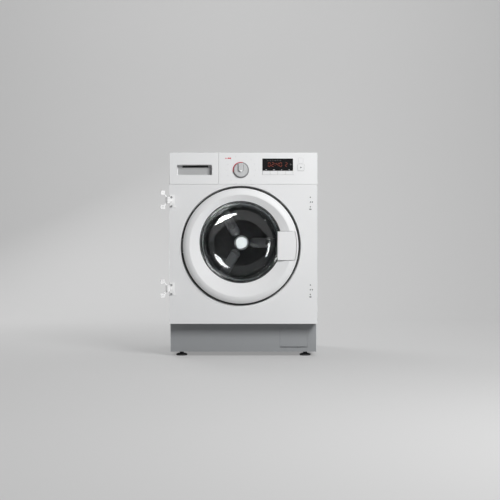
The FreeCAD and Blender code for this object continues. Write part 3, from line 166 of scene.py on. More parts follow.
def spun(bm, profile, origin, axis, steps=96, closed=True):
    axis, origin = Vector(axis), Vector(origin)
    side = axis.orthogonal().normalized()
    verts = [bm.verts.new(origin + axis * along + side * radius) for along, radius in profile]
    ends = verts[1:] + verts[:1] if closed else verts[1:]
    edges = [bm.edges.new(pair) for pair in zip(verts, ends)]
    bmesh.ops.spin(bm, geom=verts + edges, cent=origin, axis=axis, angle=2 * math.pi,
                   steps=steps, use_merge=True)


UP, BACK = Vector((0, 0, 1)), Vector((0, 1, 0))
FEET = {"foot_front_left": "foot_fl", "foot_front_right": "foot_fr",
        "foot_rear_left": "foot_rl", "foot_rear_right": "foot_rr"}
TREAD = ((0, 2), (1.2, 0.5), (4, 0), (6, 0.6), (9, 7))
TREAD_TOP, THREAD_LOW, PLAIN_PART = 9 * MM, 14 * MM, 16 * MM
SPINDLE_R, PITCH = 5 * MM, 1.5 * MM
HEXAGON_R, HEXAGON_H, HEXAGON_Z = 9.6 * MM, 7 * MM, 11.5 * MM
for node, body in FEET.items():
    low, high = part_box(node)
    foot_x, foot_y, top = (low.x + high.x) / 2, (low.y + high.y) / 2, high.z
    sole_r = high.x / 2 - low.x / 2
    profile = [(0, 0)] + [(rise * MM, sole_r - inset * MM) for rise, inset in TREAD]
    profile.append((TREAD_TOP, SPINDLE_R - 0.6 * MM))
    for i in range(int((top - PLAIN_PART) / PITCH)):
        start = THREAD_LOW + i * PITCH
        profile.append((start + 0.3 * PITCH, SPINDLE_R - 0.02 * MM))
        profile.append((start + 0.9 * PITCH, SPINDLE_R - 0.75 * MM))
    profile += [(top, SPINDLE_R - 1.6 * MM), (top, 0)]
    bm = bmesh.new()
    spun(bm, profile, (foot_x, foot_y, 0), UP, steps=48)
    bmesh.ops.create_cone(bm, cap_ends=True, segments=6, radius1=HEXAGON_R, radius2=HEXAGON_R,
                          depth=HEXAGON_H, matrix=Matrix.Translation((foot_x, foot_y, HEXAGON_Z)))
    new_piece(node + "_leveller", bm, foot_rubber, body, [node])

# Side panels, rear panel, rear cover and top cover. Zinc-coated sheet steel, folded and spot-welded,
# with pressed beads; the crystals of the zinc show as a faint spangle.
spangle, entry, leave = shader_group(
    "zinc_spangle", {"Roughness": 0.42, "Crystal": 75.0, "Contrast": 0.10})
place = entry.outputs["Place"]
warp = add_node(spangle, "TexNoise", Vector=place, Scale=60.0, Detail=2.0).outputs["Color"]
shifted = add_node(spangle, "MixRGB", {"blend_type": "MIX"}, Fac=0.02, Color1=place, Color2=warp)
cells = add_node(spangle, "TexVoronoi", Vector=shifted.outputs[0], Scale=entry.outputs["Crystal"])
grey = add_node(spangle, "RGBToBW", Color=cells.outputs["Color"]).outputs[0]
smear = add_node(spangle, "TexNoise", Vector=place, Scale=3.0, Detail=5.0).outputs["Fac"]
lift = swing(spangle, grey, entry.outputs["Contrast"])
gloss = math_node(spangle, "SUBTRACT", swing(spangle, smear, 0.25), lift)
close_group(spangle, entry, leave, lift, gloss, Strength=0.06, Distance=0.0005, Height=grey)
galvanised = finish("galvanised_sheet", spangle, (0.60, 0.615, 0.625), metallic=0.42, Roughness=0.74)
dress(galvanised, "side_panel_left", "side_panel_right", "rear_panel", "rear_cover", "top_cover")

# Screws of the rear cover and rear panel. Zinc-plated pan heads with a round drive, driven into the
# sheet from behind: the cover has a ring of eight, the panel a row down each edge.
zinc_steel = finish("zinc_steel", spangle, (0.86, 0.865, 0.87), metallic=0.45,
                    Roughness=0.40, Crystal=400.0, Contrast=0.06)
PAN_HEAD = ((0, 0), (0, 4.2), (1.4, 4.0), (2.5, 2.8), (2.7, 1.5), (1.2, 1.3), (1.2, 0))
COVER_RIM, COVER_SHEET, PANEL_RIM = 10 * MM, 1 * MM, 9 * MM
ROW_RISES = (45, 200, 360, 520, 680, 780)
cover_low, cover_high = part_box("rear_cover")
panel_low, panel_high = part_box("rear_panel")
cover_x, cover_z = (cover_low.x + cover_high.x) / 2, (cover_low.z + cover_high.z) / 2
circle_r = (cover_high.x - cover_low.x) / 2 - COVER_RIM
spots = []
for i in range(8):
    turn = math.radians(22.5 + 45 * i)
    spots.append((cover_x + circle_r * math.cos(turn), cover_low.y + COVER_SHEET,
                  cover_z + circle_r * math.sin(turn)))
for x in (panel_low.x + PANEL_RIM, panel_high.x - PANEL_RIM):
    spots += [(x, panel_high.y, panel_low.z + rise * MM) for rise in ROW_RISES]
bm = bmesh.new()
for spot in spots:
    spun(bm, [(along * MM, radius * MM) for along, radius in PAN_HEAD], spot, BACK, steps=16)
new_piece("rear_screws", bm, zinc_steel, "cabinet")

# Front panel. White enamelled sheet with the dish for the door rolled into it, its edges folded back
# and the hole groups for the furniture hinges pierced near both edges.
white_enamel = finish("white_enamel", moulded, (0.80, 0.805, 0.81), coat=0.3,
                      Roughness=0.36, Grain=240.0, Depth=0.04, Drift=0.02)
dress(white_enamel, "front_panel")

# Painted shade behind the hinge holes on the right. Black strips held behind the hole groups of the
# panel stand in for the shade inside the cabinet, so the holes look dark.
black_plastic = finish("black_plastic", moulded, (0.012, 0.012, 0.013),
                       Roughness=0.4, Grain=900.0, Depth=0.2)


def block(bm, centre, size):
    place = Matrix.Translation(centre) @ Matrix.Diagonal((*size, 1))
    return bmesh.ops.create_cube(bm, size=1, matrix=place)["verts"]


def rounded(bm, edges, offset, segments):
    bmesh.ops.bevel(bm, geom=list(edges), offset=offset, affect="EDGES", segments=segments,
                    profile=0.5, material=-1)


FRONT, panel_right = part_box("front_panel")[0].y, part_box("front_panel")[1].x
HINGE_LEVELS = (626 * MM, 273 * MM)
SHADE_PLATE, PLATE_INSET, PLATE_DROP = (22 * MM, 1.6 * MM, 62 * MM), 24 * MM, 2 * MM
BEHIND_FACE = 2.2 * MM
bm = bmesh.new()
for level in HINGE_LEVELS:
    block(bm, (panel_right - PLATE_INSET, FRONT + BEHIND_FACE, level - PLATE_DROP), SHADE_PLATE)
rounded(bm, bm.edges, 0.3 * MM, 2)
new_piece("hinge_hole_shade", bm, black_plastic, "cabinet")

# Tub, suspension and drive. Grey glass-filled polypropylene shells with a concrete weight, a cast
# motor and a belt drive behind, all hung from two springs on friction dampers.
tub_grey = finish("tub_grey", moulded, (0.42, 0.43, 0.44),
                  Roughness=0.6, Grain=500.0, Depth=0.3, Drift=0.08)
dress(tub_grey, "tub_front", "tub_rear")
concrete = finish("concrete", moulded, (0.36, 0.35, 0.33),
                  Roughness=0.9, Grain=180.0, Depth=0.8, Drift=0.25)
dress(concrete, "counterweight")
motor_casing = finish("motor_casing", spangle, (0.32, 0.33, 0.35), metallic=0.7,
                      Roughness=0.5, Crystal=300.0)
dress(motor_casing, "motor")
cast_aluminium = finish("cast_aluminium", moulded, (0.55, 0.56, 0.57), metallic=0.9,
                        Roughness=0.5, Grain=600.0, Depth=0.4)
dress(cast_aluminium, "drum_spider", "drum_pulley", "drying_duct")
bearing_steel = finish("bearing_steel", spangle, (0.60, 0.61, 0.62), metallic=1.0,
                       Roughness=0.22, Crystal=700.0)
dress(bearing_steel, "drum_bearings", "motor_pulley", "heating_element", "damper_rods")
black_rubber = finish("black_rubber", moulded, (0.022, 0.022, 0.024),
                      Roughness=0.65, Grain=900.0, Depth=0.3)
dress(black_rubber, "drive_belt")
dark_plastic = finish("dark_grey_plastic", moulded, (0.055, 0.057, 0.06),
                      Roughness=0.42, Grain=900.0, Depth=0.2)
dress(dark_plastic, "fan_wheel", "damper_cylinders", "drain_pump", "inlet_valve", "door_lock")

# Suspension springs. Two helical springs of oil-hardened wire between turned seats. The lower ends
# sit on lugs of the tub and the upper ends on hangers of the side panels.
spring_steel = finish("spring_steel", spangle, (0.30, 0.30, 0.31), metallic=1.0,
                      Roughness=0.38, Crystal=600.0)
SEAT_R, SEAT_H, COIL_R, WIRE_R = 16.6 * MM, 4.8 * MM, 13 * MM, 1.8 * MM
TURNS, TURN_STEPS, COIL_INSET = 9, 20, 3 * MM
SEAT = ((0, 0), (0, SEAT_R - 0.6 * MM), (0.8 * MM, SEAT_R), (SEAT_H - 0.8 * MM, SEAT_R),
        (SEAT_H, SEAT_R - 0.6 * MM), (SEAT_H, 0))
low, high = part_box("suspension_springs")
middle_y = (low.y + high.y) / 2
climb = (high.z - low.z - 2 * COIL_INSET) / (TURNS * TURN_STEPS)
bm = bmesh.new()
for x in (low.x + SEAT_R, high.x - SEAT_R):
    for base in (low.z, high.z - SEAT_H):
        spun(bm, SEAT, (x, middle_y, base), UP, steps=32)
    start = Matrix.Translation((x + COIL_R, middle_y, low.z + COIL_INSET))
    start = start @ Matrix.Rotation(math.pi / 2, 4, "X")
    wire = bmesh.ops.create_circle(bm, cap_ends=True, segments=8, radius=WIRE_R, matrix=start)["verts"]
    ring = wire + list({edge for vert in wire for edge in vert.link_edges})
    bmesh.ops.spin(bm, geom=ring, cent=(x, middle_y, 0), axis=UP, dvec=UP * climb,
                   angle=math.tau * TURNS, steps=TURNS * TURN_STEPS)
springs = new_piece("suspension_coils", bm, spring_steel, None, ["suspension_springs"])
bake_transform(springs)

# Drum. Stainless sheet rolled to a cylinder, pierced in staggered rows, with a curled mouth and a
# flat rear wall that carries a pressed three-armed star.
brushed, entry, leave = shader_group("brushed_steel", {"Roughness": 0.25, "Stroke": 2600.0})
place = entry.outputs["Place"]
along = add_node(brushed, "SeparateXYZ", Vector=place).outputs[1]
stroke = add_node(brushed, "TexNoise", {"noise_dimensions": "1D"}, W=along,
                  Scale=entry.outputs["Stroke"], Detail=4.0).outputs["Fac"]
cloud = add_node(brushed, "TexNoise", Vector=place, Scale=9.0, Detail=3.0).outputs["Fac"]
lift = swing(brushed, stroke, 0.22)
gloss = math_node(brushed, "ADD", swing(brushed, cloud, 0.2), lift)
close_group(brushed, entry, leave, lift, gloss, Strength=0.08, Distance=0.0003, Height=stroke)
# Painted shade: the drum's steel is coloured far darker than stainless steel, for the dark inside of the
# drum.
drum_steel = finish("drum_steel", brushed, (0.12, 0.1225, 0.126), metallic=1.0, Roughness=0.2)

low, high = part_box("drum_shell")
axis_x, axis_z = (low.x + high.x) / 2, (low.z + high.z) / 2
DRUM_R, MOUTH_R, ROWS, COLUMNS = (high.x - low.x) / 2 - 1 * MM, 153 * MM, 15, 96
FRONT_BEND, REAR_BEND, HOLE_INSET, HOLE_CORNER = 30 * MM, 12 * MM, 4.2 * MM, 2 * MM
CURL = ((5, 4), (3.5, 1), (1.5, 0), (0, 1.5), (0.3, 5))
WALL_RINGS = (190, 150, 110, 70, 30, 0)
mouth_y, wall_y = low.y + 1.2 * MM, high.y - 1 * MM
bend_y = mouth_y + 6 * MM
barrel_low, barrel_high = bend_y + FRONT_BEND, wall_y - REAR_BEND
barrel = barrel_high - barrel_low
profile = [(mouth_y + deep * MM, MOUTH_R + wide * MM) for deep, wide in CURL]
for i in range(7):
    turn = math.radians(15 * i)
    profile.append((bend_y + FRONT_BEND * (1 - math.cos(turn)), DRUM_R - FRONT_BEND * (1 - math.sin(turn))))
profile += [(barrel_low + barrel * i / ROWS, DRUM_R) for i in range(1, ROWS + 1)]
for i in range(1, 5):
    turn = math.radians(22.5 * i)
    profile.append((barrel_high + REAR_BEND * math.sin(turn), DRUM_R - REAR_BEND * (1 - math.cos(turn))))
profile += [(wall_y, radius * MM) for radius in WALL_RINGS]
bm = bmesh.new()
spun(bm, profile, (axis_x, 0, axis_z), BACK, steps=COLUMNS, closed=False)
bmesh.ops.remove_doubles(bm, verts=bm.verts, dist=1e-6)
pierced = []
for face in bm.faces:
    spot = face.calc_center_median()
    if barrel_low < spot.y < barrel_high:
        row = int((spot.y - barrel_low) / barrel * ROWS)
        column = int((math.atan2(spot.z - axis_z, spot.x - axis_x) / math.tau + 1) * COLUMNS)
        if (row + column) % 2:
            pierced.append(face)
bmesh.ops.inset_individual(bm, faces=pierced, thickness=HOLE_INSET)
corners = list({vert for face in pierced for vert in face.verts})
bmesh.ops.bevel(bm, geom=corners, offset=HOLE_CORNER, affect="VERTICES", segments=1, profile=0.5,
                material=-1)
bmesh.ops.delete(bm, geom=[face for face in bm.faces if len(face.verts) == 8], context="FACES")
drum = new_piece("drum_sheet", bm, drum_steel, "drum", ["drum_shell"])
sheet = drum.modifiers.new("sheet", "SOLIDIFY")
sheet.thickness = 1.2 * MM
sheet.offset = 0

STAR_ARM, ARM_CORNER, ARM_EDGE = (44 * MM, 6 * MM, 160 * MM), 20 * MM, 2.6 * MM
ARM_OUT, ARM_SUNK = 116 * MM, 2.5 * MM
bm = bmesh.new()
block(bm, (0, 0, 0), STAR_ARM)
rounded(bm, [e for e in bm.edges if abs(e.verts[0].co.y - e.verts[1].co.y) > 1 * MM], ARM_CORNER, 6)
rounded(bm, [e for e in bm.edges if all(v.co.y < 0 for v in e.verts)], ARM_EDGE, 3)
place = Matrix.Translation((axis_x, wall_y - ARM_SUNK, axis_z)) @ Matrix.Rotation(math.pi / 2, 4, "Y")
bmesh.ops.transform(bm, matrix=place @ Matrix.Translation((0, 0, ARM_OUT)), verts=bm.verts)
bmesh.ops.spin(bm, geom=bm.verts[:] + bm.edges[:] + bm.faces[:], cent=(axis_x, 0, axis_z), axis=BACK,
               angle=math.radians(240), steps=2, use_duplicate=True)
# Painted shade: the star's steel is coloured darker than stainless steel, for the dark inside of the drum.
star_shade_steel = finish("star_shade_steel", brushed, (0.26, 0.265, 0.27), metallic=1.0, Roughness=0.28)
new_piece("drum_star", bm, star_shade_steel, "drum")

# Lifters and hub cap of the drum. Hollow lifters clipped through the sheet, and a bright domed cap
# over the bolt of the shaft.
# Painted shade: the lifters are coloured dark grey for the dark inside of the drum.
lifter_shade_grey = finish("lifter_shade_grey", moulded, (0.12, 0.122, 0.125),
                     Roughness=0.35, Grain=800.0, Depth=0.15)
dress(lifter_shade_grey, "drum_lifters")
pale_plastic = finish("pale_plastic", moulded, (0.74, 0.745, 0.75), coat=0.2,
                      Roughness=0.35, Grain=900.0, Depth=0.1)
dress(pale_plastic, "drum_hub_cap", "dispenser_housing")

# Door gasket. One moulded grey rubber ring, clamped on the porthole's collar and on the neck of the
# tub, with a bellows fold between them.
grey_rubber = finish("grey_rubber", moulded, (0.06, 0.061, 0.064),
                     Roughness=0.55, Grain=700.0, Depth=0.25, Drift=0.1)
FOLD = ((24, 185.4), (32, 185.4), (32, 183.6), (20, 183.6), (20, 172.5), (23, 172.5), (26, 176),
        (36, 176), (43, 183), (47, 187), (50, 183), (57, 170), (63, 171), (70, 174), (88, 174),
        (88, 177.6), (78, 177.6), (78, 182.4), (88, 182.4), (88, 186), (72, 186), (58, 175),
        (52, 186), (47, 191.5), (38, 189), (24, 189))
bm = bmesh.new()
spun(bm, [(FRONT + y * MM, r * MM) for y, r in FOLD], (axis_x, 0, axis_z), BACK, steps=128)
gasket = new_piece("door_bellows", bm, grey_rubber, None, ["gasket"], crease=50)
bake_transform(gasket)

# Door. A white turned trim with an off-centre funnel round the window, on a black rear frame that
# carries the glass, the blackened hinge leaf and the latch.
white_moulding = finish("white_moulding", moulded, (0.80, 0.805, 0.81),
                        Roughness=0.5, Grain=700.0, Depth=0.06, Drift=0.02)
dress(white_moulding, "door_trim", "door_handle")
dress(black_plastic, "door_rear_frame", "latch_hook", "door_hinge_leaf", "door_hinge_bracket")

# Glass of the door. A pressed bowl of clear borosilicate with a flat flange and a rounded end, held
# between trim and rear frame; tint and polish are even, and only the pressing's faint waves vary.
GLASS_TINT = (0.94, 0.96, 0.96, 1)
bowl_glass = finish("bowl_glass", moulded, GLASS_TINT[:3], Grain=60.0, Depth=0.01)
tree = bowl_glass.node_tree
bsdf = tree.nodes["Principled BSDF"]
for label, value in (("Base Color", GLASS_TINT), ("Roughness", 0.005)):
    tree.links.remove(bsdf.inputs[label].links[0])
    bsdf.inputs[label].default_value = value
bsdf.inputs["Transmission Weight"].default_value = 1.0
bsdf.inputs["IOR"].default_value = 1.46
clear = add_node(tree, "BsdfTransparent", Color=GLASS_TINT).outputs[0]
shade = tree.nodes.new("ShaderNodeLightPath").outputs["Is Shadow Ray"]
passing = add_node(tree, "MixShader", i0=shade, i1=bsdf.outputs[0], i2=clear).outputs[0]
tree.links.new(passing, tree.nodes["Material Output"].inputs["Surface"])

BEND_Y, BEND_DEPTH, END_R, BEND_R, GLASS_WALL = 55, 41, 80, 66, 2


def bowl_bend(skin):
    turns = [math.radians(5 * i) for i in range(19)]
    return [(BEND_Y + skin + (BEND_DEPTH + skin) * math.sin(turn),
             END_R + skin + (BEND_R + skin) * math.cos(turn)) for turn in turns]


BOWL = [(-2.8, 171.8), (-2.8, 157), (-1, 155)] + bowl_bend(0)
BOWL += [(96.3, 40), (96.4, 0), (100.6, 0), (100.4, 40)] + bowl_bend(GLASS_WALL)[::-1]
BOWL += [(2.5, 159.5), (0.8, 161), (0.8, 171.8)]
bm = bmesh.new()
spun(bm, [(FRONT + y * MM, r * MM) for y, r in BOWL], (axis_x, 0, axis_z), BACK, steps=160)
bowl = new_piece("glass_bowl", bm, bowl_glass, "door", ["door_glass"])

# Control fascia, board, keys and start button. A white moulded shell over the board, with rocking
# keys under the display and a start button that carries a printed triangle.
dress(white_moulding, "control_fascia", "start_button", *[f"option_key_{i}" for i in range(1, 5)])
board_green = finish("board_green", moulded, (0.03, 0.12, 0.06),
                     Roughness=0.4, Grain=1500.0, Depth=0.1)
dress(board_green, "control_board")
INK = {"Roughness": 0.5, "Grain": 1500.0, "Depth": 0.0}
print_grey = finish("print_grey", moulded, (0.36, 0.365, 0.37), **INK)
print_dark = finish("print_dark", moulded, (0.06, 0.06, 0.065), **INK)
PRINT = 0.12 * MM


def printed_frame(bm, low, high, face_y, line):
    centre = ((low.x + high.x) / 2, face_y - PRINT / 2, (low.z + high.z) / 2)
    verts = block(bm, centre, (high.x - low.x, PRINT, high.z - low.z))
    sides = {face for vert in verts for face in vert.link_faces if abs(face.normal.y) > 0.5}
    upright = {edge for vert in verts for edge in vert.link_edges if edge.calc_length() < PRINT * 2}
    bmesh.ops.inset_individual(bm, faces=list(sides), thickness=line)
    rounded(bm, upright, 3 * MM, 4)
    rims = [face for face in sides if face.is_valid]
    bmesh.ops.bridge_loops(bm, edges=list({edge for face in rims for edge in face.edges}))
    bmesh.ops.delete(bm, geom=rims, context="FACES_ONLY")


def printed_triangle(bm, centre, radius, turn):
    place = Matrix.Translation(centre) @ Matrix.Rotation(math.pi / 2, 4, "X")
    bmesh.ops.create_cone(bm, cap_ends=True, segments=3, radius1=radius, radius2=radius, depth=PRINT,
                          matrix=place @ Matrix.Rotation(turn, 4, "Z"))


TO_RIGHT, TO_KEYS = -math.pi / 2, math.pi
start_low, start_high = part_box("start_button")
grow, above = Vector((1.6 * MM, 0, 1.6 * MM)), Vector((0, 0, 28 * MM))
bm = bmesh.new()
printed_frame(bm, start_low - grow, start_high + grow, FRONT, 0.9 * MM)
printed_frame(bm, start_low + above + grow, start_high + above - grow * 1.5, FRONT, 0.8 * MM)
new_piece("start_outline", bm, print_grey, "cabinet")
middle = (start_low + start_high) / 2
bm = bmesh.new()
printed_triangle(bm, (middle.x, start_low.y - PRINT / 2, middle.z), 4.2 * MM, TO_RIGHT)
new_piece("start_triangle", bm, print_dark, "start")

# Display. A smoked acrylic window; behind it red figures of seven bars each, a row of small signs,
# white pointers to the keys and an arrow to the start button.
display_black = finish("display_black", moulded, (0.014, 0.014, 0.015), coat=0.6,
                       Roughness=0.12, Grain=300.0, Depth=0.01)
dress(display_black, "display_window")
led_red = finish("led_red", moulded, (0.16, 0.025, 0.010), Roughness=0.4, Grain=900.0, Depth=0.0)
bsdf = led_red.node_tree.nodes["Principled BSDF"]
bsdf.inputs["Emission Color"].default_value = (1.0, 0.13, 0.03, 1)
bsdf.inputs["Emission Strength"].default_value = 0.07
led_dim = finish("led_dim", moulded, (0.09, 0.085, 0.085), Roughness=0.4, Grain=900.0, Depth=0.0)
print_white = finish("print_white", moulded, (0.75, 0.75, 0.75), **INK)
window_low, window_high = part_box("display_window")
GLOW = window_low.y - PRINT / 2
BARS = {"top": (0, 1, 1), "middle": (0, 0, 1), "bottom": (0, -1, 1), "upper_left": (-1, 0.5, 0),
        "upper_right": (1, 0.5, 0), "lower_left": (-1, -0.5, 0), "lower_right": (1, -0.5, 0)}
LIT = {"0": ("top", "bottom", "upper_left", "upper_right", "lower_left", "lower_right"),
       "2": ("top", "upper_right", "middle", "lower_left", "bottom"),
       "4": ("upper_left", "upper_right", "middle", "lower_right")}
LARGE, SMALL = (4.2 * MM, 8.0 * MM, 1.9 * MM), (3.8 * MM, 7.4 * MM, 1.8 * MM)
FIGURES = (("0", 27.5, LARGE), ("2", 41.5, LARGE), ("4", 59.5, LARGE), ("0", 73.5, LARGE),
           ("2", 96, SMALL))
COLON_X, COLON_RISE, COLON_SIZE = 50.5 * MM, 4 * MM, 2.2 * MM


def bar(bm, x, z, width, height):
    block(bm, (x, GLOW, z), (width, PRINT, height))


figures_z = window_low.z + 24.9 * MM
bm = bmesh.new()
for sign, offset, (half_width, half_height, stroke) in FIGURES:
    for label in LIT[sign]:
        across, up, flat = BARS[label]
        length = (2 * half_width if flat else half_height) - 1.3 * stroke
        x, z = window_low.x + offset * MM + across * half_width, figures_z + up * half_height
        bar(bm, x, z, length if flat else stroke, stroke if flat else length)
for rise in (-COLON_RISE, COLON_RISE):
    bar(bm, window_low.x + COLON_X, figures_z + rise, COLON_SIZE, COLON_SIZE)
new_piece("display_figures", bm, led_red, "cabinet")
bm = bmesh.new()
for i in range(6):
    bar(bm, window_low.x + (22 + 10 * i) * MM, window_high.z - 8 * MM, (6 if i % 2 else 4) * MM, 1.8 * MM)
new_piece("display_signs", bm, led_dim, "cabinet")
bm = bmesh.new()
key_width = (window_high.x - window_low.x) / 4
for i in range(4):
    spot = (window_low.x + (i + 0.5) * key_width, GLOW, window_low.z + 3.4 * MM)
    printed_triangle(bm, spot, 2.6 * MM, TO_KEYS)
new_piece("display_pointers", bm, print_white, "cabinet")
bm = bmesh.new()
printed_triangle(bm, (window_high.x - 9 * MM, GLOW, figures_z + 0.5 * MM), 4.6 * MM, TO_RIGHT)
new_piece("display_arrow", bm, led_dim, "cabinet")

# Programme dial. A silver-lacquered knob with a raised grip bar, painted shadow lines along the bar's
# sides and a painted white highlight at its lower end, in a mid-grey ring; part of the ring is red,
# and pale numbers stand round it on the fascia.
knob_silver = finish("knob_silver", moulded, (0.61, 0.615, 0.62), metallic=0.25, coat=0.2,
                     Roughness=0.38, Grain=1400.0, Depth=0.08)
dress(knob_silver, "program_knob")
ring_grey = finish("ring_grey", moulded, (0.23, 0.232, 0.235),
                   Roughness=0.4, Grain=1400.0, Depth=0.1)
dress(ring_grey, "dial_ring")
ring_low, ring_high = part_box("dial_ring")
knob_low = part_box("program_knob")[0]
dial_x, dial_z = (ring_low.x + ring_high.x) / 2, (ring_low.z + ring_high.z) / 2
ring_r = (ring_high.x - ring_low.x) / 2
print_red = finish("print_red", moulded, (0.62, 0.015, 0.045),
                   Roughness=0.4, Grain=1500.0, Depth=0.0)
ARC_START, ARC_SWEEP = math.radians(-75), math.radians(-120)
ARC = ((ring_r - 2.6 * MM, ring_low.y), (ring_r - 1.3 * MM, ring_low.y),
       (ring_r + 0.1 * MM, ring_low.y + 1.6 * MM), (ring_r + 0.1 * MM, ring_high.y - 0.2 * MM))
bm = bmesh.new()
start = Matrix.Translation((dial_x, 0, dial_z)) @ Matrix.Rotation(ARC_START, 4, "Y")
verts = [bm.verts.new(start @ Vector((radius, y, 0))) for radius, y in ARC]
edges = [bm.edges.new(pair) for pair in zip(verts, verts[1:])]
bmesh.ops.spin(bm, geom=verts + edges, cent=(dial_x, 0, dial_z), axis=BACK, angle=ARC_SWEEP, steps=40)
arc = new_piece("dial_red_arc", bm, print_red, "cabinet")
band = arc.modifiers.new("band", "SOLIDIFY")
band.thickness = 0.15 * MM
band.offset = 0

# Painted highlight: a white oval peg at the lower end of the grip bar, where light catches the bar's end.
HIGHLIGHT_AT, HIGHLIGHT_SIZE = (0.9 * MM, 3.4 * MM, -3.8 * MM), (5.2 * MM, 3.1 * MM, 7.2 * MM)
bm = bmesh.new()
place = Matrix.Translation((dial_x + HIGHLIGHT_AT[0], knob_low.y + HIGHLIGHT_AT[1], dial_z + HIGHLIGHT_AT[2]))
place = place @ Matrix.Rotation(math.pi / 2, 4, "X") @ Matrix.Diagonal((*HIGHLIGHT_SIZE, 1))
bmesh.ops.create_cone(bm, cap_ends=True, segments=40, radius1=1, radius2=1, depth=1, matrix=place)
rounded(bm, [e for e in bm.edges if all(v.co.y < knob_low.y + 1 * MM for v in e.verts)], 0.5 * MM, 3)
highlight_white = finish("highlight_white", moulded, (0.95, 0.95, 0.95),
                    Roughness=0.4, Grain=1500.0, Depth=0.0)
new_piece("knob_painted_highlight", bm, highlight_white, "knob")

# Painted shadow: two thin grey strips on the knob's face along the sides of the grip bar, the right one
# wider.
GRIP_SHADOWS, GRIP_FACE, GRIP_Z, GRIP_H = ((-10.1, 1.2), (10.6, 2.2)), 9 * MM, 9.5 * MM, 26 * MM
bm = bmesh.new()
for offset, width in GRIP_SHADOWS:
    centre = (dial_x + offset * MM, FRONT - GRIP_FACE - PRINT / 2, dial_z + GRIP_Z)
    block(bm, centre, (width * MM, PRINT, GRIP_H))
new_piece("knob_grip_shadows", bm, ring_grey, "knob")

pale_print = finish("pale_print", moulded, (0.66, 0.665, 0.67), **INK)
LABEL_R, LABEL_SIZE, LABELS, LABEL_STEP = 58 * MM, 8.5 * MM, 14, 22.7
numbers = bmesh.new()
for i in range(LABELS):
    half = LABELS // 2
    turn = math.radians(68 - LABEL_STEP * i if i < half else 112 + LABEL_STEP * (i - half))
    letters = bpy.data.curves.new("dial_number", "FONT")
    letters.body = str(i + 1)
    letters.size = LABEL_SIZE
    letters.align_x, letters.align_y = "CENTER", "CENTER"
    letters.extrude = PRINT / 2
    holder = bpy.data.objects.new("dial_number", letters)
    bpy.context.scene.collection.objects.link(holder)
    bpy.context.view_layer.update()
    shaped = holder.evaluated_get(bpy.context.evaluated_depsgraph_get())
    flat = bpy.data.meshes.new_from_object(shaped)
    spot = (dial_x + LABEL_R * math.cos(turn), FRONT - PRINT / 2, dial_z + LABEL_R * math.sin(turn))
    flat.transform(Matrix.Translation(spot) @ Matrix.Rotation(math.pi / 2, 4, "X"))
    numbers.from_mesh(flat)
    bpy.data.objects.remove(holder)
    bpy.data.curves.remove(letters)
    bpy.data.meshes.remove(flat)
new_piece("dial_numbers", numbers, pale_print, "cabinet")

# Red marks on the fascia. Four small bars of red ink to the left of the dial, printed on the white
# moulding before it is fitted.
RED_MARKS = ((28, 3.4, 3.2), (33, 3.4, 2.4), (40, 6, 4.8), (47, 6.5, 4.8))
MARKS_DOWN = 22.8 * MM
fascia_low, fascia_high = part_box("control_fascia")
bm = bmesh.new()
for offset, width, height in RED_MARKS:
    centre = (fascia_low.x + offset * MM, FRONT - PRINT / 2, fascia_high.z - MARKS_DOWN)
    block(bm, centre, (width * MM, PRINT, height * MM))
new_piece("fascia_red_marks", bm, print_red, "cabinet")

# Seam strips of the front. Pale lips of the mouldings behind the joints between panel, fascia and
# drawer front, which keep suds and light out of the cabinet.
HALF_SEAM, STRIP_DEPTH = 0.35 * MM, 1.2 * MM
panel_top, drawer_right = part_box("front_panel")[1].z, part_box("drawer_front")[1].x
joint_z, joint_x = (panel_top + fascia_low.z) / 2, (drawer_right + fascia_low.x) / 2
front_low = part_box("drawer_front")[0]
SEAMS = (((front_low.x + 3 * MM, joint_z - HALF_SEAM), (fascia_high.x - 3 * MM, joint_z + HALF_SEAM)),
         ((joint_x - HALF_SEAM, fascia_low.z + 2 * MM), (joint_x + HALF_SEAM, fascia_high.z - 3 * MM)))
bm = bmesh.new()
for (left, bottom), (right, top) in SEAMS:
    centre = ((left + right) / 2, FRONT + BEHIND_FACE, (bottom + top) / 2)
    block(bm, centre, (right - left, STRIP_DEPTH, top - bottom))
new_piece("seam_strips", bm, pale_plastic, "cabinet")

# Detergent drawer. White front with a scooped grip and a slot along its top, and a translucent pale
# tray of three compartments behind it. A grey lining in the grip is painted shade of the recess, and
# a black strip in the slot is painted shade of the dark inside.
dress(white_moulding, "drawer_front")
dress(pale_plastic, "drawer_tray")
GRIP_WIDE, GRIP_HIGH, GRIP_DEEP, FIT = 142 * MM, 42 * MM, 22 * MM, 0.3 * MM
grip_left, grip_top = front_low.x + 30 * MM, front_low.z + 78.4 * MM
# Painted shade: a mid-grey skin lines the grip recess so that the recess looks shaded.
recess_shade_grey = finish("recess_shade_grey", moulded, (0.44, 0.443, 0.447),
                     Roughness=0.5, Grain=700.0, Depth=0.1)
bm = bmesh.new()
centre = (grip_left + GRIP_WIDE / 2, FRONT + GRIP_DEEP / 2 + 0.8 * MM, grip_top - GRIP_HIGH / 2)
block(bm, centre, (GRIP_WIDE - FIT, GRIP_DEEP - 2 * MM, GRIP_HIGH - FIT))
bmesh.ops.delete(bm, geom=[f for f in bm.faces if f.normal.y < -0.5], context="FACES_ONLY")
grip = new_piece("drawer_grip_shade", bm, recess_shade_grey, "drawer")
skin = grip.modifiers.new("skin", "SOLIDIFY")
skin.thickness = 0.5 * MM
skin.offset = -1
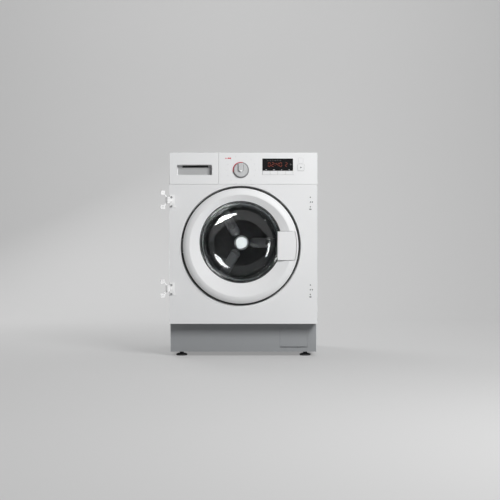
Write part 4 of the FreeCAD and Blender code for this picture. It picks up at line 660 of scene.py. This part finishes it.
# Painted shade: a black strip fills the slot, where the dark inside of the drawer housing shows.
slot_low = Vector((grip_left + 22.2 * MM, FRONT + GRIP_DEEP - 2.4 * MM, grip_top - 9.8 * MM))
slot_high = Vector((grip_left + 125.8 * MM, FRONT + GRIP_DEEP - 0.4 * MM, grip_top - 1.4 * MM))
bm = bmesh.new()
block(bm, (slot_low + slot_high) / 2, slot_high - slot_low)
rounded(bm, bm.edges, 0.3 * MM, 2)
new_piece("drawer_slot_shade", bm, black_plastic, "drawer")

# Furniture hinges. Bright-plated pressed leaves and barrels on bases held by plain steel screws,
# drawn open to the left as they stand before the furniture door is hung.
bright_zinc = finish("bright_zinc", moulded, (0.95, 0.95, 0.95), metallic=0.08, coat=0.4,
                     Roughness=0.34, Grain=500.0, Depth=0.05)
dress(bright_zinc, "furniture_hinge_bases", "furniture_hinge_upper", "furniture_hinge_lower")
screw_steel = finish("screw_steel", moulded, (0.42, 0.425, 0.43), metallic=0.6,
                     Roughness=0.35, Grain=500.0, Depth=0.05)
dress(screw_steel, "hinge_screws")

# Drain filter in the kick front. A dark grip-topped plug that unscrews from the pump behind its flap.
# The grip stands across the plug's face so that fingers can turn it.
dress(dark_plastic, "pump_filter")

# Studio floor. A wide pale grey sheet that curves up into a backdrop behind the machine. Seen
# straight, in a mirror image or through glass it keeps one pale tone, with the machine's shadow on it.
stage_grey = finish("stage_grey", moulded, (0.50, 0.50, 0.50),
                    Roughness=0.8, Grain=120.0, Depth=0.02, Drift=0.02)
HALF_WIDE, HALF_LONG, WALL_H, WALL_BEND, FORWARD = 40, 32, 5, 2.0, 28.2
PALE_TONE, PALE_GLOW = (0.32, 0.32, 0.32, 1), 0.28


def background_rays(tree):
    rays = tree.nodes.new("ShaderNodeLightPath").outputs
    mirrored = math_node(tree, "MAXIMUM", rays["Is Glossy Ray"], rays["Is Transmission Ray"])
    return math_node(tree, "MAXIMUM", rays["Is Camera Ray"], mirrored)


def stage_sheet(name, bm, material):
    mesh = bpy.data.meshes.new(name)
    bm.to_mesh(mesh)
    bm.free()
    mesh.shade_smooth()
    mesh.materials.append(material)
    item = bpy.data.objects.new(name, mesh)
    bpy.context.scene.collection.objects.link(item)
    return item


tree = stage_grey.node_tree
pale = add_node(tree, "BsdfDiffuse", Color=PALE_TONE).outputs[0]
glow = add_node(tree, "Emission", Color=(1, 1, 1, 1), Strength=PALE_GLOW).outputs[0]
pale = add_node(tree, "AddShader", i0=pale, i1=glow).outputs[0]
lit = tree.nodes["Principled BSDF"].outputs[0]
shown = add_node(tree, "MixShader", i0=background_rays(tree), i1=lit, i2=pale).outputs[0]
tree.links.new(shown, tree.nodes["Material Output"].inputs["Surface"])
bm = bmesh.new()
bmesh.ops.create_grid(bm, x_segments=1, y_segments=1, size=1,
                      matrix=Matrix.Diagonal((HALF_WIDE, HALF_LONG, 1, 1)))
rear = [e for e in bm.edges if all(v.co.y > 0 for v in e.verts)]
raised = bmesh.ops.extrude_edge_only(bm, edges=rear)["geom"]
raised = [part for part in raised if isinstance(part, bmesh.types.BMVert)]
bmesh.ops.translate(bm, vec=UP * WALL_H, verts=raised)
rounded(bm, rear, WALL_BEND, 24)
bmesh.ops.translate(bm, vec=BACK * -FORWARD, verts=bm.verts)
stage_sheet("studio_floor", bm, stage_grey)

# Black flag. A sheet of black cloth stood up in front of the machine, as photographers do to keep
# glass dark. Only mirror images and rays through glass see it, and it throws no shade.
flag_cloth = finish("flag_cloth", moulded, (0.01, 0.01, 0.01),
                    Roughness=0.9, Grain=300.0, Depth=0.0)
FLAG_AHEAD, FLAG_Z, FLAG_HALF = 2.9, 0.66, (1.8, 0.64, 1, 1)
bm = bmesh.new()
place = Matrix.Translation((0, FRONT - FLAG_AHEAD, FLAG_Z)) @ Matrix.Rotation(math.pi / 2, 4, "X")
bmesh.ops.create_grid(bm, x_segments=1, y_segments=1, size=1, matrix=place @ Matrix.Diagonal(FLAG_HALF))
flag = stage_sheet("black_flag", bm, flag_cloth)
flag.visible_camera = flag.visible_diffuse = flag.visible_shadow = False

# Sky. A faint even light all round, lifted to the floor's pale tone where it is seen straight, in a
# mirror image or through glass.
SKY_COLOUR, SKY_LIGHT, SKY_LIFT = (0.97, 0.985, 1.0, 1), 0.05, 0.24
world = bpy.data.worlds.new("studio_sky")
bpy.context.scene.world = world
world.use_nodes = True
tree = world.node_tree
level = add_node(tree, "Math", {"operation": "MULTIPLY_ADD"}, i0=background_rays(tree),
                 i1=SKY_LIFT, i2=SKY_LIGHT).outputs[0]
tree.links.new(level, tree.nodes["Background"].inputs["Strength"])
tree.nodes["Background"].inputs["Color"].default_value = SKY_COLOUR

# Lamps. Softboxes for front, top, rear and backdrop, a thin strip at the left, two cards that only
# the glass bowl mirrors, and a narrow spot for the hub cap; place, aim, width, height and watts.
MACHINE = (0, -0.2, 0.45)
SOFTBOXES = {
    "key_lamp": ((1.5, -2.65, 1.95), MACHINE, 1.3, 1.3, 87),
    "strip_lamp": ((-1.9, -2.3, 0.95), MACHINE, 0.07, 1.6, 4),
    "top_lamp": ((0, 0.6, 3.2), (0, 0.3, 0.4), 3.0, 3.0, 18),
    "rear_lamp": ((-1.6, 2.2, 2.0), (0, 0.2, 0.5), 1.6, 1.6, 30),
    "backdrop_lamp": ((0, 1.2, 3.4), (0, 3.6, 1.4), 4.0, 0.6, 62),
    "low_card": ((0.236, -0.605, 0.03), (-0.066, -0.2, 0.571), 0.42, 0.38, 36),
    "side_card": ((-1.5, -1.9, 0.9), MACHINE, 0.5, 0.8, 18),
}
VIEW_DISTANCE, HUB_WATTS = 4.025, 88


def studio_lamp(name, kind, spot, aim, power):
    lamp = bpy.data.lights.new(name, kind)
    lamp.energy = power
    holder = bpy.data.objects.new(name, lamp)
    holder.location = spot
    holder.rotation_euler = (Vector(aim) - Vector(spot)).to_track_quat("-Z", "Y").to_euler()
    bpy.context.scene.collection.objects.link(holder)
    return holder


for name, (spot, aim, width, height, power) in SOFTBOXES.items():
    lamp = studio_lamp(name, "AREA", spot, aim, power).data
    lamp.shape = "RECTANGLE"
    lamp.size, lamp.size_y = width, height
snoot = studio_lamp("hub_lamp", "SPOT", (-0.035, FRONT - VIEW_DISTANCE, 0.50),
                    (axis_x, FRONT + 0.4, axis_z), HUB_WATTS)
snoot.data.spot_size, snoot.data.shadow_soft_size = math.radians(3), 0.02
hub_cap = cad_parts["drum_hub_cap"]
for name, receiver in (("low_card", bowl), ("side_card", bowl), ("hub_lamp", hub_cap)):
    reach = bpy.data.collections.new(name + "_reach")
    reach.objects.link(receiver)
    bpy.data.objects[name].light_linking.receiver_collection = reach
    bpy.data.objects[name].visible_camera = False
bpy.data.objects["rear_lamp"].visible_glossy = False

# Camera. A long lens square on to the front, a little right of the middle and at half the machine's
# height.
optics = bpy.data.cameras.new("photo_camera")
optics.lens = 72
optics.sensor_width = 36
camera = bpy.data.objects.new("photo_camera", optics)
camera.location = (0.0426, FRONT - VIEW_DISTANCE, 0.433)
camera.rotation_euler = (math.pi / 2, 0, 0)
bpy.context.scene.collection.objects.link(camera)
bpy.context.scene.camera = camera
bpy.context.scene.view_settings.view_transform = "Standard"
